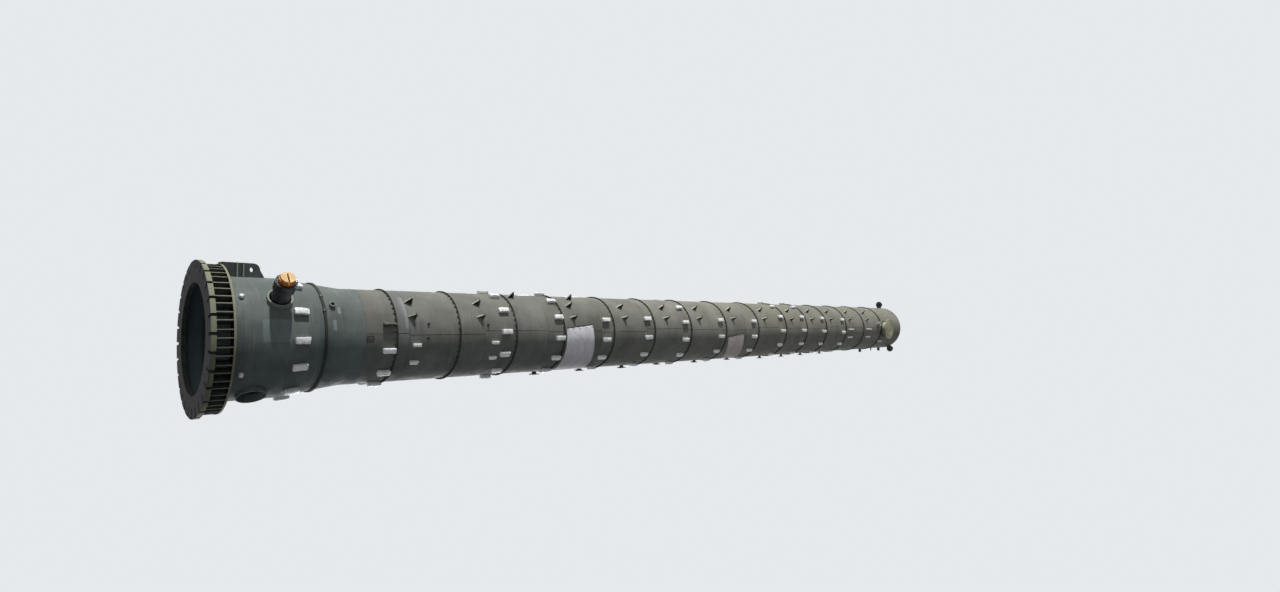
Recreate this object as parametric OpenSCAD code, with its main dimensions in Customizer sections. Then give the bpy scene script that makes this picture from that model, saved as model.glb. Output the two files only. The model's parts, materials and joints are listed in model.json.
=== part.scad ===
// Distillation column, 1:2 scale model, standing upright.
// The underside of the base plate lies on z = 0 and the column axis is the z axis.
// Angles run round the axis from the -Y side towards +X. All sizes in mm.

/* [Shell] */
// Outside diameter of the column shell
shell_d = 1900; // [1760:10:2040]
// Wall of the shell and of its two heads
shell_t = 20; // [14:1:26]
// Nominal bay between two stiffening rings
bay_h = 1570; // [1520:10:1700]
// Height of the skirt ring, the first ring above the base
first_ring_z = 1815; // [1780:5:1850]

/* [Skirt] */
// Step of the skirt foot outside the shell, on each side
skirt_flare = 150; // [120:1:180]
// Wall of the skirt
skirt_t = 20; // [14:1:24]
// Height where the straight foot of the skirt ends and its cone starts
can_z = 1190; // [1150:5:1230]
// Height where the cone of the skirt meets the shell's diameter
cone_z = 2330; // [2250:5:2400]
// Clear diameter of the access opening
access_d = 440; // [380:5:480]
// Clear diameter of the sleeve round the outlet pipe
outlet_hole_d = 350; // [340:2:370]

/* [Base] */
// Thickness of the base plate
base_t = 76; // [60:1:100]
// Width of the base plate outside the skirt
base_lip = 261; // [250:1:280]
// Width of the base plate inside the skirt
base_inner_lip = 105; // [80:1:120]
// Number of anchor bolts
anchor_count = 28; // [24:2:30]
// Diameter of an anchor bolt hole
anchor_d = 46; // [38:1:54]
// Clear height between base plate and compression ring
chair_h = 247; // [220:1:270]
// Thickness of the compression ring
chair_ring_t = 33; // [26:1:40]

/* [Fittings] */
// Radial width of a stiffening ring
ring_w = 30; // [24:1:40]
// Thickness of a stiffening ring
ring_t = 22; // [16:1:28]
// Length of a wrapped platform clip along the column
clip_h = 252; // [220:2:270]
// Reach of a wrapped platform clip
clip_reach = 95; // [80:1:115]
// Outside diameter of the bottom outlet pipe
outlet_d = 300; // [270:2:310]
// Outside diameter of a lifting trunnion
trunnion_d = 600; // [540:10:640]
// Diameter of the end disc of a trunnion
trunnion_disc_d = 895; // [850:5:940]

/* [Hidden] */
$fn = 180;
fine = 360;

// Heights
bays = [
  0.855, 0.875, 0.905, 0.885, 1.06, 1, 1.02, 1.105,
  1.165, 1.13, 0.935, 0.96, 1.05, 1.05, 1.105
];
ring_count = len(bays) + 1;
top_bay = 1.39;
join_rise = 750;
join_z = first_ring_z + join_rise;
top_z = ring_z(ring_count) + top_bay * bay_h;
chair_z = base_t + chair_h;
chair_top = chair_z + chair_ring_t;

// Radii
shell_r = shell_d / 2;
foot_r = shell_r + skirt_flare;
base_r = foot_r + base_lip;
base_bore_r = foot_r - skirt_t - base_inner_lip;
chair_r = base_r - 50;
bolt_r = (foot_r + chair_r) / 2;
slot_w = anchor_d + 6;
far = 2 * base_r;

// Clearance of a soft piece, overshoot of a cut, and depth of a root buried before it is trimmed
seat = 0.3;
cut = 1;
root = 30;

// Heads: three-centred dish, crown and knuckle as shares of the shell radius
crown_k = 1.8;
knuckle_k = 0.34;
flange_h = 60;

// Anchor chairs
anchor_pitch = 360 / anchor_count;
anchor_phase = anchor_pitch / 2;
gusset_t = 16;
gusset_gap = 136;
gusset_inset = 12;

// Skirt ring splices
splice_angles = [-48.8, -30.6];
splice_w = 2.4;
splice_t = 10;

// Skirt openings and bosses: heights and angles
outlet_z = 1085;
outlet_a = -40;
outlet_sleeve_t = 30;
access_z = 760;
access_a = 58;
access_sleeve_t = 16;
sleeve_out = 60;
sleeve_in = 60;
vent_z = first_ring_z + 160;
vent_angles = [-38.2, 141.8];
vent_d = 110;
vent_bore = 82;
boss_z = 513;
boss_d = 64;
boss_out = 46;
boss_angles = [-42, 30, 138, 210];

// Bottom outlet: bend, flange pair and cover
bend_r = 1.5 * outlet_d;
outlet_flange_d = outlet_d + 50;
flange_t = 90;
gasket_t = 10;
outlet_reach = 437;
outlet_flange_r = shell_r + outlet_reach;
outlet_end_r = outlet_flange_r + 2 * flange_t + gasket_t;
cover_d = 240;
cover_rim = 16;
cover_t = 115;
cover_gap = 14;
cover_slot = 70;

// Tailing lug
lug_t = 36;
lug_gap = 90;
lug_w = 249;
lug_eye_out = 135;
lug_eye_rise = 489;
lug_reach = foot_r + lug_w;
lug_eye_r = foot_r + lug_eye_out;
lug_eye_z = chair_top + lug_eye_rise;
lug_eye_d = 100;
lug_eye_rim = 114;
lug_slope = 200;
lug_ribs = [224, 319];
lug_rib_t = 20;
lug_rib_w = 70;

// Clips: ring number, first angle and number of clips in each row
clip_rows = [
  [2, 14, 8], [4, -66, 12], [5, -56, 12], [6, -22, 10], [7, -24, 10], [8, -48, 11],
  [9, -22, 10], [10, -20, 10], [11, -60, 12], [12, -60, 12], [13, -27, 10], [14, -24, 10]
];
skirt_clip_angles = [-60, -27, 0, 25, 57, 90, 120, 150, 180, 210, 240, 270];
skirt_clip_drop = 285;
clip_w = 6.4;
clip_drop = 140;
clip_near_drop = 12;
clip_chamfer = 16;
clip_step = 30;
bare_clip_a = clip_rows[0][1] - clip_step;
bare_clip_t = 20;
bare_block_w = 56;
bare_block_h = 60;

// Pipe cleats: rise over each ring, and the columns that they stand in
cleat_rises = [0, 0, 380, 565, 220, 360, 475, 565, 470, 470, 470, 470, 470, 470, 470, 470];
cleat_angles = [-47.5, -26.5];
side_cleat_a = -67;
side_cleat_rise = 580;
cleat_w = 150;
cleat_tip = 46;
cleat_reach = 150;
cleat_depth = 135;
cleat_t = 14;

// Small wrapped fittings: ring number, rise over it, angle
lower_spots = [[2, 320, 8.5], [2, 320, 30.5], [3, 765, 8], [3, 765, 29]];
lower_spot = [4.2, 170, 80];
upper_spots = [[14, 210, 0], [14, 210, 19.5], [15, 250, 0], [15, 250, 20], [16, 30, 35]];
upper_spot = [3.6, 420, 60];

// Trunnions and top fittings
trunnion_z = ring_z(ring_count) + 0.26 * bay_h;
trunnion_throat = 180;
trunnion_disc_t = 30;
pad_w = 60;
pad_t = 16;
nozzle_z = ring_z(ring_count) - 300;
nozzle_a = -12.4;
nozzle_d = 150;
nozzle_flange_d = 230;
nozzle_flange_t = 26;
nozzle_reach = 110;
davit_z = top_z - 256;
davit_angles = [-90, 60];
davit_r = shell_r + 165;
davit_bore = 104;
davit_tube_d = 140;
davit_tube_h = 240;
davit_plate_r = 145;
davit_plate_t = 30;
davit_web_w = 200;
bracket_a = 90;
bracket_w = 120;
bracket_t = 16;
bracket_reach = 150;
bracket_drop = 70;
vee_z = ring_z(ring_count) + 0.7 * bay_h;
vee_h = 75;
vee_leg = 34;

// Banners: angle and rise over their ring of each corner
banner_t = 5;
lower_banner_ring = 5;
lower_banner_mid = 33;
lower_banner_corners = [[-9, 68], [69, 144], [80, 1208], [-14, 914]];
upper_banner_ring = 9;
upper_banner_mid = 40;
upper_banner_corners = [[11, 113], [69, 484], [74, 1330], [5, 940]];

function ring_z(i) = first_ring_z + bay_h * bay_sum(i - 1);
function bay_sum(n) = n <= 0 ? 0 : bays[n - 1] + bay_sum(n - 1);
function skirt_r(z) = z < can_z ? foot_r
  : z > cone_z ? shell_r
  : foot_r - skirt_flare * (z - can_z) / (cone_z - can_z);
function skirt_line(inset) = [
  [foot_r - inset, base_t], [foot_r - inset, can_z],
  [shell_r - inset, cone_z], [shell_r - inset, join_z]
];
function course_z(k) = k == 0 ? join_z + flange_h
  : k == 6 ? top_z - flange_h
  : ring_z(3 * k) - 0.42 * bay_h;
function clip_top(i) = ring_z(i) - ring_t / 2 - (i == 2 || i == 5 ? clip_near_drop : clip_drop);
function head_lift() = sqrt(pow(crown_k * shell_r - knuckle_k * shell_r, 2)
  - pow(shell_r - shell_t - knuckle_k * shell_r, 2));

// Shape helpers

// Turns a child that lies on the -Y side to an angle round the column.
module at_angle(a) {
  rotate([0, 0, a]) children();
}

// Revolves a profile through an arc centred on the -Y side.
module arc(a, w) {
  rotate([0, 0, a - 90 - w / 2]) rotate_extrude(angle = w) children();
}

// A radial round bar between two distances from the column axis.
module radial(a, z, r, near, reach) {
  at_angle(a) translate([0, -near, z]) rotate([90, 0, 0]) cylinder(r = r, h = reach - near);
}

// Plain cylinder of the skirt's straight foot.
module foot_body() {
  translate([0, 0, -cut]) cylinder(r = foot_r, h = can_z + cut);
}

// Plain cylinder of the shell between two heights.
module shell_body(z0, z1) {
  translate([0, 0, z0]) cylinder(r = shell_r, h = z1 - z0, $fn = fine);
}

// Half profile of a three-centred dish below z = 0, inset by the given amount.
module dish_fill(inset) {
  crown = crown_k * shell_r;
  knuckle = knuckle_k * shell_r;
  edge = shell_r - shell_t;
  lift = head_lift();
  reach = 2 * crown;
  spread = reach * (edge - knuckle) / lift;
  intersection() {
    union() {
      intersection() {
        translate([0, lift]) circle(r = crown - inset);
        translate([0, lift]) polygon([[0, 0], [spread, -reach], [0, -reach]]);
      }
      translate([edge - knuckle, 0]) circle(r = knuckle - inset);
      translate([0, -knuckle / 2]) square([edge - knuckle, knuckle / 2]);
    }
    translate([0, -reach]) square([shell_r, reach]);
  }
}

// Half profile of the whole head: dish, taper to the shell wall, flange.
module head_profile() {
  inner = shell_r - shell_t;
  difference() {
    union() {
      dish_fill(0);
      square([shell_r, flange_h]);
    }
    dish_fill(shell_t);
    polygon([
      [-cut, -cut], [inner - shell_t, -cut], [inner - shell_t, 0],
      [inner, shell_t * 1.5], [inner, flange_h + cut], [-cut, flange_h + cut]
    ]);
  }
}

// A wrapped plate: block with eased edges whose back follows the wall.
module wrapped_plate(a, w, z0, z1, r_low, r_high, reach) {
  face = r_high + reach;
  arc(a, w) polygon([
    [r_low, z0], [face - clip_chamfer, z0], [face, z0 + clip_chamfer],
    [face, z1 - clip_chamfer], [face - clip_chamfer, z1], [r_high, z1]
  ]);
}

// The rows of wrapped clips from one place in the list to another.
module clip_row_set(from, to) {
  for (row = [for (k = [from : to]) clip_rows[k]]) for (k = [0 : row[2] - 1])
    wrapped_plate(row[1] + clip_step * k, clip_w, clip_top(row[0]) - clip_h, clip_top(row[0]),
      shell_r, shell_r, clip_reach);
}

// Cleat: tapered shelf plate with a gusset under it.
module cleat(a, z) {
  tip = shell_r + cleat_reach;
  base = shell_r - root;
  at_angle(a) translate([0, 0, z]) {
    linear_extrude(cleat_t) polygon([
      [-cleat_w / 2, -base], [cleat_w / 2, -base], [cleat_tip / 2, -tip], [-cleat_tip / 2, -tip]
    ]);
    translate([-cleat_t / 2, 0, 0]) rotate([90, 0, 90]) linear_extrude(cleat_t) polygon([
      [-base, cleat_t / 2], [20 - tip, cleat_t / 2], [20 - tip, -20], [-base, -cleat_depth]
    ]);
  }
}

// The cleats over rings i to j, leaving out ring 4, which has only its side cleat.
module cleat_rows(i, j) {
  difference() {
    for (k = [i : j]) if (k != 4) for (a = cleat_angles) cleat(a, ring_z(k) + cleat_rises[k]);
    shell_body(ring_z(i), ring_z(j) + bay_h);
  }
}

// Stiffening rings i to j.
module rings(i, j) {
  for (k = [i : j]) translate([0, 0, ring_z(k) - ring_t / 2]) rotate_extrude()
    translate([shell_r, 0]) square([ring_w, ring_t]);
}

// Sub-parts

module base_plate() {
  color("#8b9086") difference() {
    cylinder(r = base_r, h = base_t);
    translate([0, 0, -cut]) cylinder(r = base_bore_r, h = base_t + 2 * cut);
    for (k = [0 : anchor_count - 1]) at_angle(anchor_phase + k * anchor_pitch) translate([0, 0, -cut]) {
      translate([0, -bolt_r, 0]) cylinder(d = slot_w, h = base_t + 2 * cut);
      translate([-slot_w / 2, -far, 0]) cube([slot_w, far - bolt_r, base_t + 2 * cut]);
    }
  }
}

module anchor_gussets() {
  color("#7d837b") difference() {
    for (k = [0 : anchor_count - 1]) for (s = [-1, 1]) at_angle(anchor_phase + k * anchor_pitch)
      translate([s * gusset_gap / 2 - gusset_t / 2, gusset_inset - chair_r, base_t])
        cube([gusset_t, chair_r - foot_r + root, chair_h]);
    foot_body();
  }
}

module compression_ring() {
  color("#858b82") difference() {
    translate([0, 0, chair_z]) cylinder(r = chair_r, h = chair_ring_t);
    foot_body();
    for (k = [0 : anchor_count - 1]) at_angle(anchor_phase + k * anchor_pitch)
      translate([0, -bolt_r, chair_z - cut]) cylinder(d = anchor_d, h = chair_ring_t + 2 * cut);
  }
}

// One quarter of the skirt wall, with the openings that fall in it.
module skirt_panel(k) {
  inner = skirt_line(skirt_t);
  difference() {
    rotate([0, 0, 90 * (k - 2)]) rotate_extrude(angle = 90)
      polygon(concat(skirt_line(0), [for (i = [3 : -1 : 0]) inner[i]]));
    if (k == 1) radial(access_a, access_z, access_d / 2 + access_sleeve_t, 0, far);
    if (k == 2) radial(vent_angles[1], vent_z, vent_d / 2, 0, far);
    if (k == 4) radial(vent_angles[0], vent_z, vent_d / 2, 0, far);
    if (k == 4) radial(outlet_a, outlet_z, outlet_hole_d / 2 + outlet_sleeve_t, 0, far);
  }
}

module skirt_panel_1() {
  color("#6f7771") skirt_panel(1);
}

module skirt_panel_2() {
  color("#6b736d") skirt_panel(2);
}

module skirt_panel_3() {
  color("#6f7771") skirt_panel(3);
}

module skirt_panel_4() {
  color("#6b736d") skirt_panel(4);
}

// Ring with the two cover plates of its joints on the outer edge.
module skirt_ring() {
  z0 = first_ring_z - ring_t;
  z1 = first_ring_z + ring_t;
  rim = skirt_r(first_ring_z) + ring_w;
  color("#5f665f") union() {
    rotate_extrude() polygon([[skirt_r(z0), z0], [rim, z0], [rim, z1], [skirt_r(z1), z1]]);
    for (a = splice_angles) arc(a, splice_w)
      translate([rim - cut, z0 - splice_t]) square([splice_t + cut, z1 - z0 + 2 * splice_t]);
  }
}

module skirt_vents() {
  wall = skirt_r(vent_z);
  color("#9aa19a") for (a = vent_angles) difference() {
    radial(a, vent_z, vent_d / 2, wall - skirt_t - sleeve_in / 2, wall + sleeve_out);
    radial(a, vent_z, vent_bore / 2, 0, far);
  }
}

// A sleeve welded into the skirt round an opening.
module sleeve(a, z, bore, wall) {
  face = skirt_r(z) + sleeve_out;
  difference() {
    radial(a, z, bore / 2 + wall, face - sleeve_out - skirt_t - sleeve_in, face);
    radial(a, z, bore / 2, 0, far);
  }
}

module access_sleeve() {
  color("#757c76") sleeve(access_a, access_z, access_d, access_sleeve_t);
}

module outlet_sleeve() {
  color("#9aa19a") sleeve(outlet_a, outlet_z, outlet_hole_d, outlet_sleeve_t);
}

module earthing_bosses() {
  color("#b9bdb6") difference() {
    for (a = boss_angles) radial(a, boss_z, boss_d / 2, foot_r - root, foot_r + boss_out);
    foot_body();
  }
}

// Elbow under the bottom head and the straight pipe welded to it.
module outlet_pipe() {
  color("#1d1e20") {
    difference() {
      union() {
        translate([0, 0, outlet_z + bend_r]) cylinder(d = outlet_d, h = join_z - outlet_z - bend_r);
        at_angle(outlet_a) translate([0, -bend_r, outlet_z + bend_r]) rotate([-90, 0, 90])
          rotate_extrude(angle = 90) translate([bend_r, 0]) circle(d = outlet_d);
      }
      translate([0, 0, join_z + head_lift()]) sphere(r = crown_k * shell_r, $fn = fine);
    }
    radial(outlet_a, outlet_z, outlet_d / 2, bend_r, outlet_flange_r);
  }
}

// Flange and blind flange with the gasket between them.
module outlet_flange() {
  color("#232427") union() {
    radial(outlet_a, outlet_z, outlet_flange_d / 2, outlet_flange_r, outlet_flange_r + flange_t);
    radial(outlet_a, outlet_z, outlet_d / 2, outlet_flange_r, outlet_end_r);
    radial(outlet_a, outlet_z, outlet_flange_d / 2, outlet_end_r - flange_t, outlet_end_r);
  }
}

// Round cover with a rim, parted across its face.
module outlet_cover() {
  color("#dba35a") difference() {
    union() {
      radial(outlet_a, outlet_z, cover_d / 2 + cover_rim, outlet_end_r, outlet_end_r + cover_t / 3);
      radial(outlet_a, outlet_z, cover_d / 2, outlet_end_r, outlet_end_r + cover_t);
    }
    at_angle(outlet_a) translate([-cover_d, -outlet_end_r - cover_t - cut, outlet_z - cover_gap / 2])
      cube([2 * cover_d, cover_slot + cut, cover_gap]);
  }
}

// Side outline of a lug plate, radius leftwards and height upwards.
module lug_outline() {
  translate([-lug_eye_r, lug_eye_z]) circle(r = lug_eye_rim);
  polygon([
    [root - foot_r, chair_top], [-lug_reach, chair_top], [-lug_reach, lug_eye_z],
    [-lug_eye_r, lug_eye_z + lug_eye_rim], [root - foot_r, lug_eye_z + lug_slope]
  ]);
}

module tailing_lug() {
  color("#7b827a") difference() {
    for (s = [-1, 1]) at_angle(-90) {
      translate([s * lug_gap - lug_t / 2, 0, 0]) rotate([90, 0, 90]) linear_extrude(lug_t) difference() {
        lug_outline();
        translate([-lug_eye_r, lug_eye_z]) circle(d = lug_eye_d);
      }
      for (rise = lug_ribs)
        translate([s * (lug_gap + lug_t / 2 + lug_rib_w / 2) - lug_rib_w / 2, -lug_reach, chair_top + rise])
          cube([lug_rib_w, lug_reach - foot_r + root, lug_rib_t]);
    }
    foot_body();
  }
}

module bottom_head() {
  color("#666b64") translate([0, 0, join_z]) rotate_extrude() head_profile();
}

module top_head() {
  color("#6f746c") translate([0, 0, top_z]) mirror([0, 0, 1]) rotate_extrude() head_profile();
}

module shell_course(k) {
  z0 = course_z(k - 1);
  z1 = course_z(k);
  translate([0, 0, z0]) difference() {
    cylinder(r = shell_r, h = z1 - z0);
    translate([0, 0, -cut]) cylinder(r = shell_r - shell_t, h = z1 - z0 + 2 * cut);
  }
}

module shell_course_1() {
  color("#6e7269") shell_course(1);
}

module shell_course_2() {
  color("#6b6f67") shell_course(2);
}

module shell_course_3() {
  color("#6e7269") shell_course(3);
}

module shell_course_4() {
  color("#6b6f67") shell_course(4);
}

module shell_course_5() {
  color("#6e7269") shell_course(5);
}

module shell_course_6() {
  color("#6b6f67") shell_course(6);
}

module lower_rings() {
  color("#3b3d39") rings(2, 5);
}

module middle_rings() {
  color("#3b3d39") rings(6, 10);
}

module upper_rings() {
  color("#3b3d39") rings(11, 16);
}

module skirt_clips() {
  z1 = first_ring_z - skirt_clip_drop;
  z0 = z1 - clip_h;
  color("#e9ebe7") for (a = skirt_clip_angles)
    wrapped_plate(a, clip_w, z0, z1, skirt_r(z0), skirt_r(z1), clip_reach);
}

module lower_clips() {
  color("#e9ebe7") clip_row_set(0, 2);
}

module middle_clips() {
  color("#e9ebe7") clip_row_set(3, 7);
}

module upper_clips() {
  color("#e9ebe7") clip_row_set(8, 11);
}

// The clip without film: a plate on edge with a stop block at its foot.
module bare_clip() {
  z0 = clip_top(2) - clip_h;
  color("#77786f") difference() {
    at_angle(bare_clip_a) union() {
      translate([-bare_clip_t / 2, -shell_r - clip_reach, z0]) cube([bare_clip_t, clip_reach + root, clip_h]);
      translate([-bare_block_w / 2, -shell_r - clip_reach * 0.7, z0])
        cube([bare_block_w, clip_reach * 0.7 + root, bare_block_h]);
    }
    shell_body(z0 - cut, z0 + clip_h + cut);
  }
}

module lower_cleats() {
  color("#53574f") {
    cleat_rows(2, 5);
    difference() {
      union() {
        cleat(side_cleat_a, ring_z(4) + cleat_rises[4]);
        cleat(side_cleat_a, ring_z(5) + side_cleat_rise);
      }
      shell_body(ring_z(4), ring_z(6));
    }
  }
}

module middle_cleats() {
  color("#53574f") cleat_rows(6, 10);
}

module upper_cleats() {
  color("#53574f") cleat_rows(11, 15);
}

// Small wrapped fittings at the listed spots, each of one size: angle, length and reach.
module fittings(spots, size) {
  for (spot = spots) {
    z0 = ring_z(spot[0]) + spot[1];
    wrapped_plate(spot[2], size[0], z0, z0 + size[1], shell_r, shell_r, size[2]);
  }
}

module lower_fittings() {
  color("#d9dbd6") fittings(lower_spots, lower_spot);
}

module upper_fittings() {
  color("#d9dbd6") fittings(upper_spots, upper_spot);
}

module trunnion(a) {
  disc_r = shell_r + trunnion_throat;
  difference() {
    union() {
      radial(a, trunnion_z, trunnion_d / 2, shell_r - 2 * root, disc_r + trunnion_disc_t);
      radial(a, trunnion_z, trunnion_disc_d / 2, disc_r, disc_r + trunnion_disc_t);
    }
    shell_body(trunnion_z - trunnion_d, trunnion_z + trunnion_d);
  }
}

module near_trunnion() {
  color("#9a9f8e") trunnion(0);
}

module far_trunnion() {
  color("#9a9f8e") trunnion(180);
}

module trunnion_pads() {
  z0 = trunnion_z - trunnion_d;
  color("#55584f") for (a = [0, 180]) intersection() {
    difference() {
      radial(a, trunnion_z, trunnion_d / 2 + pad_w, 0, far);
      radial(a, trunnion_z, trunnion_d / 2, 0, far + cut);
    }
    difference() {
      translate([0, 0, z0]) cylinder(r = shell_r + pad_t, h = 2 * trunnion_d);
      shell_body(z0 - cut, z0 + 2 * trunnion_d + cut);
    }
  }
}

module top_nozzle() {
  face = shell_r + nozzle_reach;
  color("#a5a99c") difference() {
    union() {
      radial(nozzle_a, nozzle_z, nozzle_d / 2, shell_r - root, face + nozzle_flange_t);
      radial(nozzle_a, nozzle_z, nozzle_flange_d / 2, face, face + nozzle_flange_t);
    }
    shell_body(nozzle_z - nozzle_d, nozzle_z + nozzle_d);
  }
}

// Sockets for a davit post, each a tube on a round-ended shelf.
module davit_sockets() {
  color("#4b4e48") difference() {
    for (a = davit_angles) at_angle(a) translate([0, -davit_r, davit_z]) {
      cylinder(d = davit_tube_d, h = davit_tube_h);
      cylinder(r = davit_plate_r, h = davit_plate_t);
      translate([-davit_web_w / 2, 0, 0]) cube([davit_web_w, davit_r - shell_r + root, davit_plate_t]);
    }
    shell_body(davit_z - cut, davit_z + davit_tube_h + cut);
    for (a = davit_angles) at_angle(a) translate([0, -davit_r, davit_z - cut])
      cylinder(d = davit_bore, h = davit_tube_h + 2 * cut);
  }
}

// Two shelf brackets and the V of two struts between them.
module side_brackets() {
  tip = -shell_r - bracket_reach;
  foot = root - shell_r;
  color("#4b4e48") difference() {
    at_angle(bracket_a) {
      for (z = [ring_z(ring_count) - bracket_drop, davit_z])
        translate([-bracket_w / 2, tip, z]) cube([bracket_w, bracket_reach + root, bracket_t]);
      translate([-bracket_t / 2, 0, vee_z]) rotate([90, 0, 90]) linear_extrude(bracket_t) polygon([
        [foot, -vee_h], [tip, 0], [foot, vee_h], [foot, vee_h - vee_leg],
        [tip + 2 * vee_leg, 0], [foot, vee_leg - vee_h]
      ]);
    }
    shell_body(ring_z(ring_count) - bay_h / 2, top_z);
  }
}

// A banner held close to the shell, cut to four corners over its ring.
module banner(i, mid, corners) {
  inner = shell_r + seat;
  translate([0, 0, ring_z(i)]) at_angle(mid) intersection() {
    difference() {
      cylinder(r = inner + banner_t, h = bay_h);
      translate([0, 0, -cut]) cylinder(r = inner, h = bay_h + 2 * cut);
    }
    rotate([90, 0, 0]) linear_extrude(far) polygon([for (c = corners) [shell_r * sin(c[0] - mid), c[1]]]);
  }
}

module lower_banner() {
  color("#e6e6e2") banner(lower_banner_ring, lower_banner_mid, lower_banner_corners);
}

module upper_banner() {
  color("#d9c8c4") banner(upper_banner_ring, upper_banner_mid, upper_banner_corners);
}

base_plate();
anchor_gussets();
compression_ring();
skirt_panel_1();
skirt_panel_2();
skirt_panel_3();
skirt_panel_4();
skirt_ring();
skirt_vents();
access_sleeve();
outlet_sleeve();
outlet_pipe();
outlet_flange();
outlet_cover();
earthing_bosses();
tailing_lug();
bottom_head();
shell_course_1();
shell_course_2();
shell_course_3();
shell_course_4();
shell_course_5();
shell_course_6();
top_head();
lower_rings();
middle_rings();
upper_rings();
skirt_clips();
lower_clips();
middle_clips();
upper_clips();
bare_clip();
lower_cleats();
middle_cleats();
upper_cleats();
lower_fittings();
upper_fittings();
near_trunnion();
far_trunnion();
trunnion_pads();
top_nozzle();
davit_sockets();
side_brackets();
lower_banner();
upper_banner();
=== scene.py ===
"""Looks of the 1:2 distillation column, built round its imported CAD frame.

The column stands upright: +Z runs up its axis from the base plate, -Y faces the near trunnion and
-X the tailing lug. Angles round the axis are counted from -Y towards +X, in degrees.
"""

from __future__ import annotations

import json
import logging
import math
import random
from dataclasses import dataclass, field
from enum import Enum

import bmesh
import bpy
from bmesh.types import BMEdge, BMesh, BMVert
from bpy.types import Material, Mesh, Node, NodeSocket, NodeTree, Object
from mathutils import Matrix, Vector, noise

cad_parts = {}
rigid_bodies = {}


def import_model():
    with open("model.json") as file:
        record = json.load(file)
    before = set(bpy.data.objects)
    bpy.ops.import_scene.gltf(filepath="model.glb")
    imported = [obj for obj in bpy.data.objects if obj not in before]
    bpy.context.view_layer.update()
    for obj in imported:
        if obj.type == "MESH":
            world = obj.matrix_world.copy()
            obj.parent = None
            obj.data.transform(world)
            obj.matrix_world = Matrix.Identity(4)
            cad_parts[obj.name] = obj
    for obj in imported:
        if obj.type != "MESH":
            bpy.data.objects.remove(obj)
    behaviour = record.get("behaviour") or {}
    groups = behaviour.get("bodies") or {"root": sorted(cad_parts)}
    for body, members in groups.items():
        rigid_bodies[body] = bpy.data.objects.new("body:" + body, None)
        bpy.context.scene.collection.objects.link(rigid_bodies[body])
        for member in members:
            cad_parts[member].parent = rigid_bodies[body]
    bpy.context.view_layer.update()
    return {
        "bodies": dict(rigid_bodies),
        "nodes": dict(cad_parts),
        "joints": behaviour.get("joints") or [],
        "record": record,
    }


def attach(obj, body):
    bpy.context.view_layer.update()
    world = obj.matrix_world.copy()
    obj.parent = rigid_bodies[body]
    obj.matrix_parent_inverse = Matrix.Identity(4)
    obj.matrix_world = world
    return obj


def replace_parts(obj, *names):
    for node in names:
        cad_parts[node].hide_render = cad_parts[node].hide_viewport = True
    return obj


LOG = logging.getLogger("column")
SEED = 37
MM = 0.001

# Sizes repeated from the CAD source, in metres
SHELL_R = 0.950
FOOT_R = 1.100
CAN_Z = 1.190
CONE_Z = 2.330
JOIN_Z = 2.565
FIRST_RING = 1.815
BAY = 1.570
BAYS = (0.855, 0.875, 0.905, 0.885, 1.06, 1.0, 1.02, 1.105, 1.165, 1.13, 0.935, 0.96, 1.05, 1.05, 1.105)
TOP_BAY = 1.39
RING_W = 0.030
RING_T = 0.022
LAST_RING = 16

Outline = list[tuple[float, float]]


def ring_z(index: int) -> float:
    """Height of a stiffening ring's middle, in metres, where the skirt ring is number 1."""
    return FIRST_RING + BAY * sum(BAYS[: index - 1])


def skirt_r(z: float) -> float:
    """Outside radius of the skirt or shell at height z, in metres."""
    share = min(1.0, max(0.0, (z - CAN_Z) / (CONE_Z - CAN_Z)))
    return FOOT_R + (SHELL_R - FOOT_R) * share


def polar(angle: float, radius: float, z: float) -> Vector:
    """Point at an angle round the column, in degrees from -Y towards +X."""
    turn = math.radians(angle)
    return Vector((radius * math.sin(turn), -radius * math.cos(turn), z))


def stand_off(angle: float, radius: float, z: float) -> Matrix:
    """Frame on the wall: its X runs round the column, its Y up it and its Z outwards.

    Args:
        angle: Its angle round the column.
        radius: Its distance from the column's axis.
        z: Its height.

    Returns:
        The frame.
    """
    out = polar(angle, 1.0, 0.0)
    up = Vector((0.0, 0.0, 1.0))
    frame = Matrix((up.cross(out), up, out)).transposed().to_4x4()
    frame.translation = polar(angle, radius, z)
    return frame


# Materials


def linear(colour: str) -> tuple[float, float, float, float]:
    """Turns an sRGB hex colour to linear RGBA.

    Args:
        colour: The colour as "#rrggbb".

    Returns:
        The linear colour with an alpha of 1.
    """
    parts = [int(colour[i : i + 2], 16) / 255 for i in (1, 3, 5)]
    flat = [v / 12.92 if v <= 0.04045 else ((v + 0.055) / 1.055) ** 2.4 for v in parts]
    return (flat[0], flat[1], flat[2], 1.0)


class Blend(Enum):
    """How a second colour is laid over the first."""

    COVER = "MIX"
    TINT = "MULTIPLY"


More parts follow.
